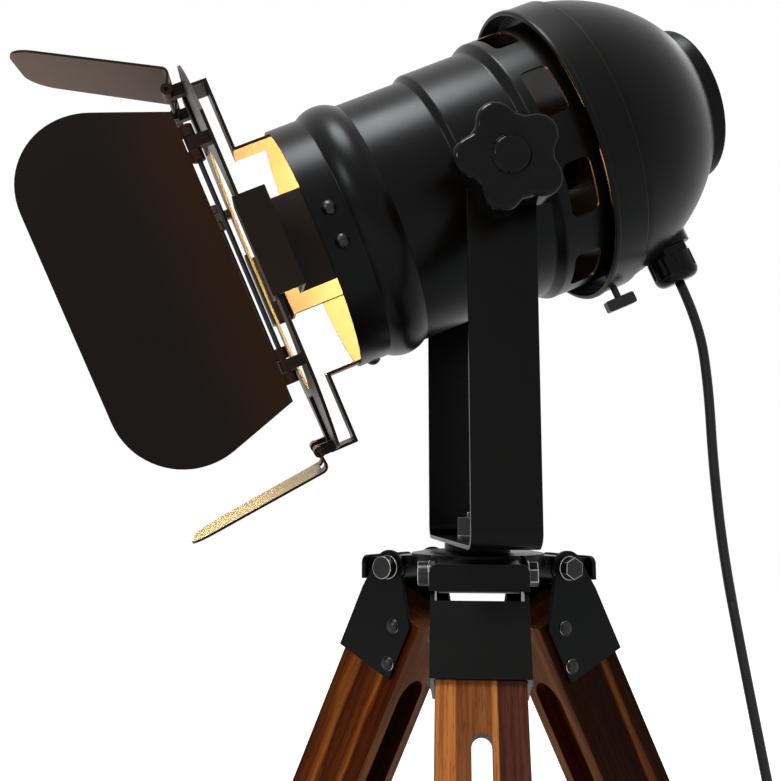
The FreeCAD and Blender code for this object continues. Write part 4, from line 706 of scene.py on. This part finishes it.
def can():
    c = canShape
    outer = [(c["rim"], c["collar"]), (c["beadFront"], c["collar"], c["beadEdge"]),
             *arc((c["beadFront"], c["collar"]), (c["beadBack"], c["collar"]), c["beadCurve"], 12),
             (c["beadBack"], c["collar"], c["beadEdge"]), (c["stepFront"], c["collar"], c["stepEdge"]),
             (c["stepBack"], c["barrel"], c["stepEdge"]), (c["ventStepFront"], c["barrel"], c["ventStepEdge"]),
             (c["ventStepBack"], c["tailRadius"], c["ventStepEdge"]), (c["tail"], c["tailRadius"])]
    inner = [(along - (c["sheetShift"] if index > 1 else 0.0), radius - c["sheet"], *edge)
             for index, (along, radius, *edge) in enumerate(outer)]
    inner[-1] = (c["tail"], c["tailRadius"] - c["sheet"])
    outline = [*softened(outer, 5, closed=False), *softened(inner, 5, closed=False)[::-1]]
    mesh = lathe("can", outline, c["segments"])
    half, back, front = c["ventHalf"], c["ventBack"], c["ventFront"]
    slot = softened([(back, -half), (front, -half), (front, half), (back, half)], 6, c["ventCorner"])
    cutter = slab("vent", slot, c["cutFrom"], c["cutTo"])
    turns = [(cutter, turned("X", 360.0 / c["vents"] * index)) for index in range(c["vents"])]
    mesh = carved("can", mesh, joined("vents", *turns))
    # Inner faces get the darker copy, painted shade; those ahead of the bulb get the lit copy, painted bulb
    # light.
    piece = lined(showing("canShell", mesh, headFrame, enamel, "head", c["easing"]), paintedShadeBlack, facesBeam)
    lined(piece, litEnamel, lambda face: facesBeam(face) and face.center.x > c["lit"] * mm)
    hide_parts("can")


can()

domeShape = {"front": -58.5, "skirt": 75.8, "skirtBack": -66.0, "curve": 92.0, "back": -126.0, "end": 40.5,
             "opening": 30.0, "sheet": 1.5, "sheetShift": 0.3, "endStep": 0.7, "endEdge": 3.0,
             "seatPlace": -89.5, "seatRadius": 13.5, "seatDown": 69.5, "seatHeight": 11.0, "seatSteps": 48,
             "easing": 0.35, "segments": 192}  # mm


def dome():
    c = domeShape
    wall = c["sheet"]
    start, last = (c["skirtBack"], c["skirt"]), (c["back"], c["end"])
    outer = [(c["front"], c["skirt"]), start, *arc(start, last, c["curve"], 26), last]
    edge = softened([outer[-2], last, (c["back"], c["opening"])], 6, c["endEdge"], closed=False)
    inner = [(c["back"] + wall, c["opening"]), (c["back"] + wall, c["end"] - c["endStep"]),
             *[(along + c["sheetShift"], radius - wall) for along, radius in outer[-2:1:-1]],
             (c["skirtBack"], c["skirt"] - wall), (c["front"], c["skirt"] - wall)]
    shell = lathe("dome", [*outer[:-1], *edge[1:], *inner], c["segments"])
    ring = [around(c["seatRadius"], 2 * math.pi * step / c["seatSteps"]) for step in range(c["seatSteps"])]
    seat = slab("seat", ring, -c["seatDown"], c["seatHeight"] - c["seatDown"])  # the gland's
    mesh = joined("dome", (shell, Matrix()), (seat, moved(c["seatPlace"])))
    piece = showing("rearDome", mesh, headFrame, enamel, "head", c["easing"])
    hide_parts("dome")


dome()

bandShape = {"radius": 77.4, "sheet": 1.5, "front": -45.9, "back": -64.2, "lip": 0.7, "lipLength": 2.6,
             "web": -57.0, "bore": 8.0, "edges": (0.4, 1.0, 0.7, 0.5, 0.8, 0.3, 0.5, 0.3, 0.3, 0.5),
             "webNormal": 0.9, "segments": 192}  # mm, and how far a web's face points along the axis


def rearBand():
    c = bandShape
    inner, lip = c["radius"] - c["sheet"], c["radius"] + c["lip"]
    lipEnd, webBack = c["front"] - c["lipLength"], c["web"] - c["sheet"]
    corners = [(c["front"], inner), (c["front"], lip), (lipEnd, lip), (lipEnd - c["lip"], c["radius"]),
               (c["back"], c["radius"]), (c["back"], inner), (webBack, inner), (webBack, c["bore"]),
               (c["web"], c["bore"]), (c["web"], inner)]
    outline = softened([(*corner, edge) for corner, edge in zip(corners, c["edges"])], 4)
    mesh = lathe("rearBand", outline, c["segments"])
    # the band's inner and web faces get the darker copy, painted shade
    piece = lined(showing("rearBand", mesh, headFrame, enamel, "head"), paintedShadeBlack,
                  lambda face: facesBeam(face) or abs(face.normal.x) > c["webNormal"])
    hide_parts("rear_band")


rearBand()

capShape = {"front": -126.0, "radius": 39.6, "depth": 6.5, "flare": 1.0, "flareLength": 1.0, "rim": 2.4,
            "recess": 3.0, "recessSlope": 1.0, "halfway": 2.4, "middle": 1.65,
            "edges": (0.0, 0.5, 1.2, 0.9, 0.8, 1.0, 5.0, 0.0), "segments": 144}  # mm


def endCap():
    c = capShape
    rear, rim = c["front"] - c["depth"], c["radius"] + c["flare"]
    corners = [(c["front"], 0.0), (c["front"], c["radius"]), (rear + c["flareLength"], rim), (rear, rim),
               (rear, rim - c["rim"]), (rear + c["recess"], rim - c["rim"] - c["recessSlope"]),
               (rear + c["halfway"], rim / 2), (rear + c["middle"], 0.0)]
    outline = softened([(*corner, edge) for corner, edge in zip(corners, c["edges"])], 5, closed=False)
    piece = showing("endCap", lathe("endCap", outline, c["segments"]), headFrame, enamel, "head")
    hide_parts("end_cap")


endCap()

knobShape = {"stud": 4.0, "studEnd": 65.8, "seat": 74.1, "boss": 5.0, "bossRadius": 10.0, "bossEdge": 0.3,
             "height": 15.0, "lowEdge": 1.92, "edge": 3.2, "edgeSteps": 7, "dish": (0.1, 5.5),
             "middle": [(-0.15, 10.0), (-0.6, 8.7), (0.7, 7.8), (1.2, 7.2), (1.5, 3.9), (1.55, 0.0)],
             "core": 19.4, "waist": 9.7, "blend": 1.6, "lobes": 5, "lobeCentre": 16.6, "lobeRadius": 8.4,
             "turn": 40.0, "easing": 0.2, "segments": 180}  # mm and degrees


def lobed(angle):  # the knob's rim, lobes and waist run smoothly together
    c = knobShape
    step = 2 * math.pi / c["lobes"]
    offset = (angle + step / 2) % step - step / 2
    sine = c["lobeCentre"] * math.sin(offset)
    reach = c["waist"]
    if abs(sine) < c["lobeRadius"]:
        reach = c["lobeCentre"] * math.cos(offset) + math.sqrt(c["lobeRadius"] ** 2 - sine * sine)
    return c["core"] + c["blend"] * math.log(1 + math.exp((reach - c["core"]) / c["blend"]))


def tiltKnob(side, way):
    c = knobShape
    face = c["seat"] + c["boss"]
    top = face + c["height"]
    quarter = [math.pi / 2 * step / c["edgeSteps"] for step in range(c["edgeSteps"] + 1)]
    foot = [(c["studEnd"], 0.0), (c["studEnd"], c["stud"]), (c["seat"], c["stud"]),
            (c["seat"], c["bossRadius"]), (face - c["bossEdge"], c["bossRadius"])]
    rim = [(face + c["lowEdge"] * (1 - math.cos(turn)), c["lowEdge"] * (1 - math.sin(turn)))
           for turn in quarter]
    rim += [(top - c["edge"] * (1 - math.sin(turn)), c["edge"] * (1 - math.cos(turn))) for turn in quarter]
    rim.append((top + c["dish"][0], c["dish"][1]))
    profile = [(height, radius, 0.0) for height, radius in foot]
    profile += [(height, None, inset) for height, inset in rim]  # inset from the lobes
    profile += [(top + rise, radius, 0.0) for rise, radius in c["middle"]]
    made, rings = bmesh.new(), []
    for height, radius, inset in profile:
        steps = 1 if radius == 0.0 else c["segments"]
        turns = [2 * math.pi * step / steps for step in range(steps)]
        pairs = [around(lobed(turn) - inset if radius is None else radius, turn) for turn in turns]
        rings.append([made.verts.new(spot(*pair, height)) for pair in pairs])
    skinned(made, rings)
    facing = Vector((0, 0, 1)).rotation_difference(Vector((0, way, 0))).to_matrix().to_4x4()
    piece = showing("tiltKnob" + side, meshOf("tiltKnob", made), pivot @ facing @ turned("Z", c["turn"]),
                    knobPlastic, "tilt_knob_" + side.lower(), c["easing"])
    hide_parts("tilt_knob_" + side.lower())


tiltKnob("Near", -1)
tiltKnob("Far", 1)

doorShape = {"length": 74.0, "end": 87.0, "corner": 31.0, "rootPlace": -40.0, "root": 51.7,
             "start": 20.0, "centre": 25.0, "beyond": 200.0,  # mm, in the leaf's own frame
             "innerNormal": -0.7}
frameShape = {"reach": 106.0}  # mm


def doorFit(made):  # a side leaf's rim, moved to its outline
    c = doorShape
    outline = softened([(c["rootPlace"], -c["root"]), (c["length"], -c["end"], c["corner"]),
                        (c["length"], c["end"], c["corner"]), (c["rootPlace"], c["root"])], 24)
    centre = Vector((c["centre"], 0.0))
    for vert in made.verts:
        if vert.co.x < c["start"] * mm:
            continue
        beyond = centre + (vert.co.xy / mm - centre).normalized() * c["beyond"]
        for index, point in enumerate(outline):
            hit = geometry.intersect_line_line_2d(centre, beyond, outline[index - 1], point)
            if hit:
                vert.co.xy = hit * mm


def frameFit(made):  # the frame's corners, cut back to a circle
    for vert in made.verts:
        reach = vert.co.yz.length / mm
        if reach > frameShape["reach"]:
            vert.co.yz *= frameShape["reach"] / reach


def leafInside(face):
    return face.normal.z < doorShape["innerNormal"]


sheets = {"end_clips": None, "side_clips": None, "door_frame": frameFit}
# the leaves' inner faces carry painted bulb light, the lowest one the brightest
leaves = {"near": (litLeaf, doorFit), "far": (litLeaf, doorFit), "top": (litLeaf, None),
          "bottom": (goldLeaf, None)}  # the inner faces' paint, and the fit
fittings = {"tilt_bosses": (enamel, 0.3), "thumb_screw": (blackScrew, 0.3), "lamp_holder": (darkGlaze, 0.5),
            "bulb_cap": (nickel, 0.3), "bulb_glass": (glowing, 0.0), "gland_body": (knobPlastic, 0.4),
            "gland_nut": (knobPlastic, 0.4)}  # paint, and width of the eased edges in mm
frontEdges = {"sheet": 0.25, "leaf": 0.3, "screw": 0.15}  # mm
for node, fit in sheets.items():
    lined(dressed(node, clipEnamel, frontEdges["sheet"], frontFrame, fit=fit), litEnamel, facesBeam)
for side, (inside, fit) in leaves.items():
    leaf = dressed("leaf_" + side, leafEnamel, frontEdges["leaf"], leafFrame(side), fit=fit)
    lined(leaf, inside, leafInside)
# the eased edges get the paler steel, a painted rim highlight
for node in ("clip_screws", "hinge_pins"):
    dressed(node, blackScrew, frontEdges["screw"], frontFrame, rim=paintedRimHighlight)
for node, (paint, width) in fittings.items():
    dressed(node, paint, width, headFrame)
print("stage: head made")


# yoke, hub and legs

standEdges = {"yoke": 0.45, "hub": 0.7, "washer": 0.25, "bolt": 0.35}  # mm
dressed("yoke", enamel, standEdges["yoke"], name="yokeStrap")
dressed("hub", enamel, standEdges["hub"], name="hubCasting")
for node in ("tilt_washers", "pan_washer"):
    dressed(node, enamel, standEdges["washer"])
# the eased edges get the paler steel, a painted rim highlight
for node in ("pan_bolt", "pan_nut", "leg_hinge_fasteners"):
    dressed(node, blackScrew, standEdges["bolt"], rim=paintedRimHighlight)

legParts = {"upper_leg": (wood, 0.7), "lower_leg": (wood, 0.7), "leg_bracket": (enamel, 0.4),
            "leg_guide": (enamel, 0.4), "leg_screws": (blackScrew, 0.3), "foot": (rubber, 0.8),
            "clamp_knob": (knobPlastic, 0.6)}  # paint, and width of the eased edges in mm
screwRim = {"least": 0.35, "most": 0.62}  # how far the faces of the painted rim highlight point along the screw


def onRim(face):
    return screwRim["least"] < abs(face.normal.y) < screwRim["most"]


for end in ends:
    for part, (paint, width) in legParts.items():
        piece = dressed(part + "_" + end, paint, width, legFrame(end))
        # a ring of the paler steel on the leg screws, a painted rim highlight
        if part == "leg_screws":
            lined(piece, paintedRimHighlight, onRim)
print("stage: stand made")


# studio: a pale floor, a pale room and soft lamps

studio = {"floor": 6.0, "floorDrop": 0.0002, "floorGrey": 0.55, "floorRough": 0.8, "floorShine": 0.1,
          "lift": [(0.2, (0.58,) * 3), (0.9, (0.95,) * 3)], "liftReach": 1.4,
          "ambient": 0.28, "shown": 1.0, "aim": (0, 0, 0.42)}  # metres and shares of white
lamps = {
    "above": {"place": (-0.35, -0.40, 1.9), "size": 0.65, "power": 27.0},
    "left": {"place": (-1.4, -1.5, 1.3), "size": 0.5, "power": 14.0},
    "behind": {"place": (1.3, 1.1, 1.6), "size": 0.8, "power": 4.0},
}


def shownRays(paint):  # 1 for the rays that see the background as it is
    rays = paint.node("ShaderNodeLightPath")
    return rays["Is Glossy Ray"] + rays["Is Transmission Ray"] + rays["Is Camera Ray"]


def studioRoom():
    world = bpy.data.worlds.new("room")
    bpy.context.scene.world = world
    world.use_nodes = True
    room = Recipe(world=world)
    strength = shownRays(room) * (studio["shown"] - studio["ambient"]) + studio["ambient"]
    room.put(world.node_tree.nodes["Background"], {"Color": (1.0, 1.0, 1.0), "Strength": strength})


def studioFloor():  # lifted towards white away from the object, so that its shadow stays
    c = studio
    made = bmesh.new()
    bmesh.ops.create_grid(made, x_segments=1, y_segments=1, size=c["floor"] / 2)
    mesh = bpy.data.meshes.new("floor")
    made.to_mesh(mesh)
    made.free()
    floor = placed("floor", mesh)
    floor.location.z = -c["floorDrop"]
    paint = Recipe("floor", Roughness=c["floorRough"], Specular_IOR_Level=c["floorShine"])
    away = paint.node("ShaderNodeVectorMath", {"operation": "LENGTH"}, {0: paint.place()})["Value"]
    paint.surface(Base_Color=(c["floorGrey"],) * 3, Emission_Strength=shownRays(paint),
                  Emission_Color=paint.ramp(away / c["liftReach"], c["lift"]))
    mesh.materials.append(paint.material)


def studioLamps():
    aim = Vector(studio["aim"])
    for name, c in lamps.items():
        data = bpy.data.lights.new(name, "AREA")
        data.shape, data.size, data.energy = "DISK", c["size"], c["power"]
        lamp = placed(name, data)
        lamp.location = c["place"]
        lamp.rotation_euler = (aim - Vector(c["place"])).to_track_quat("-Z", "Y").to_euler()


studioRoom()
studioFloor()
studioLamps()
print("stage: studio lit")

bpy.context.view_layer.update()
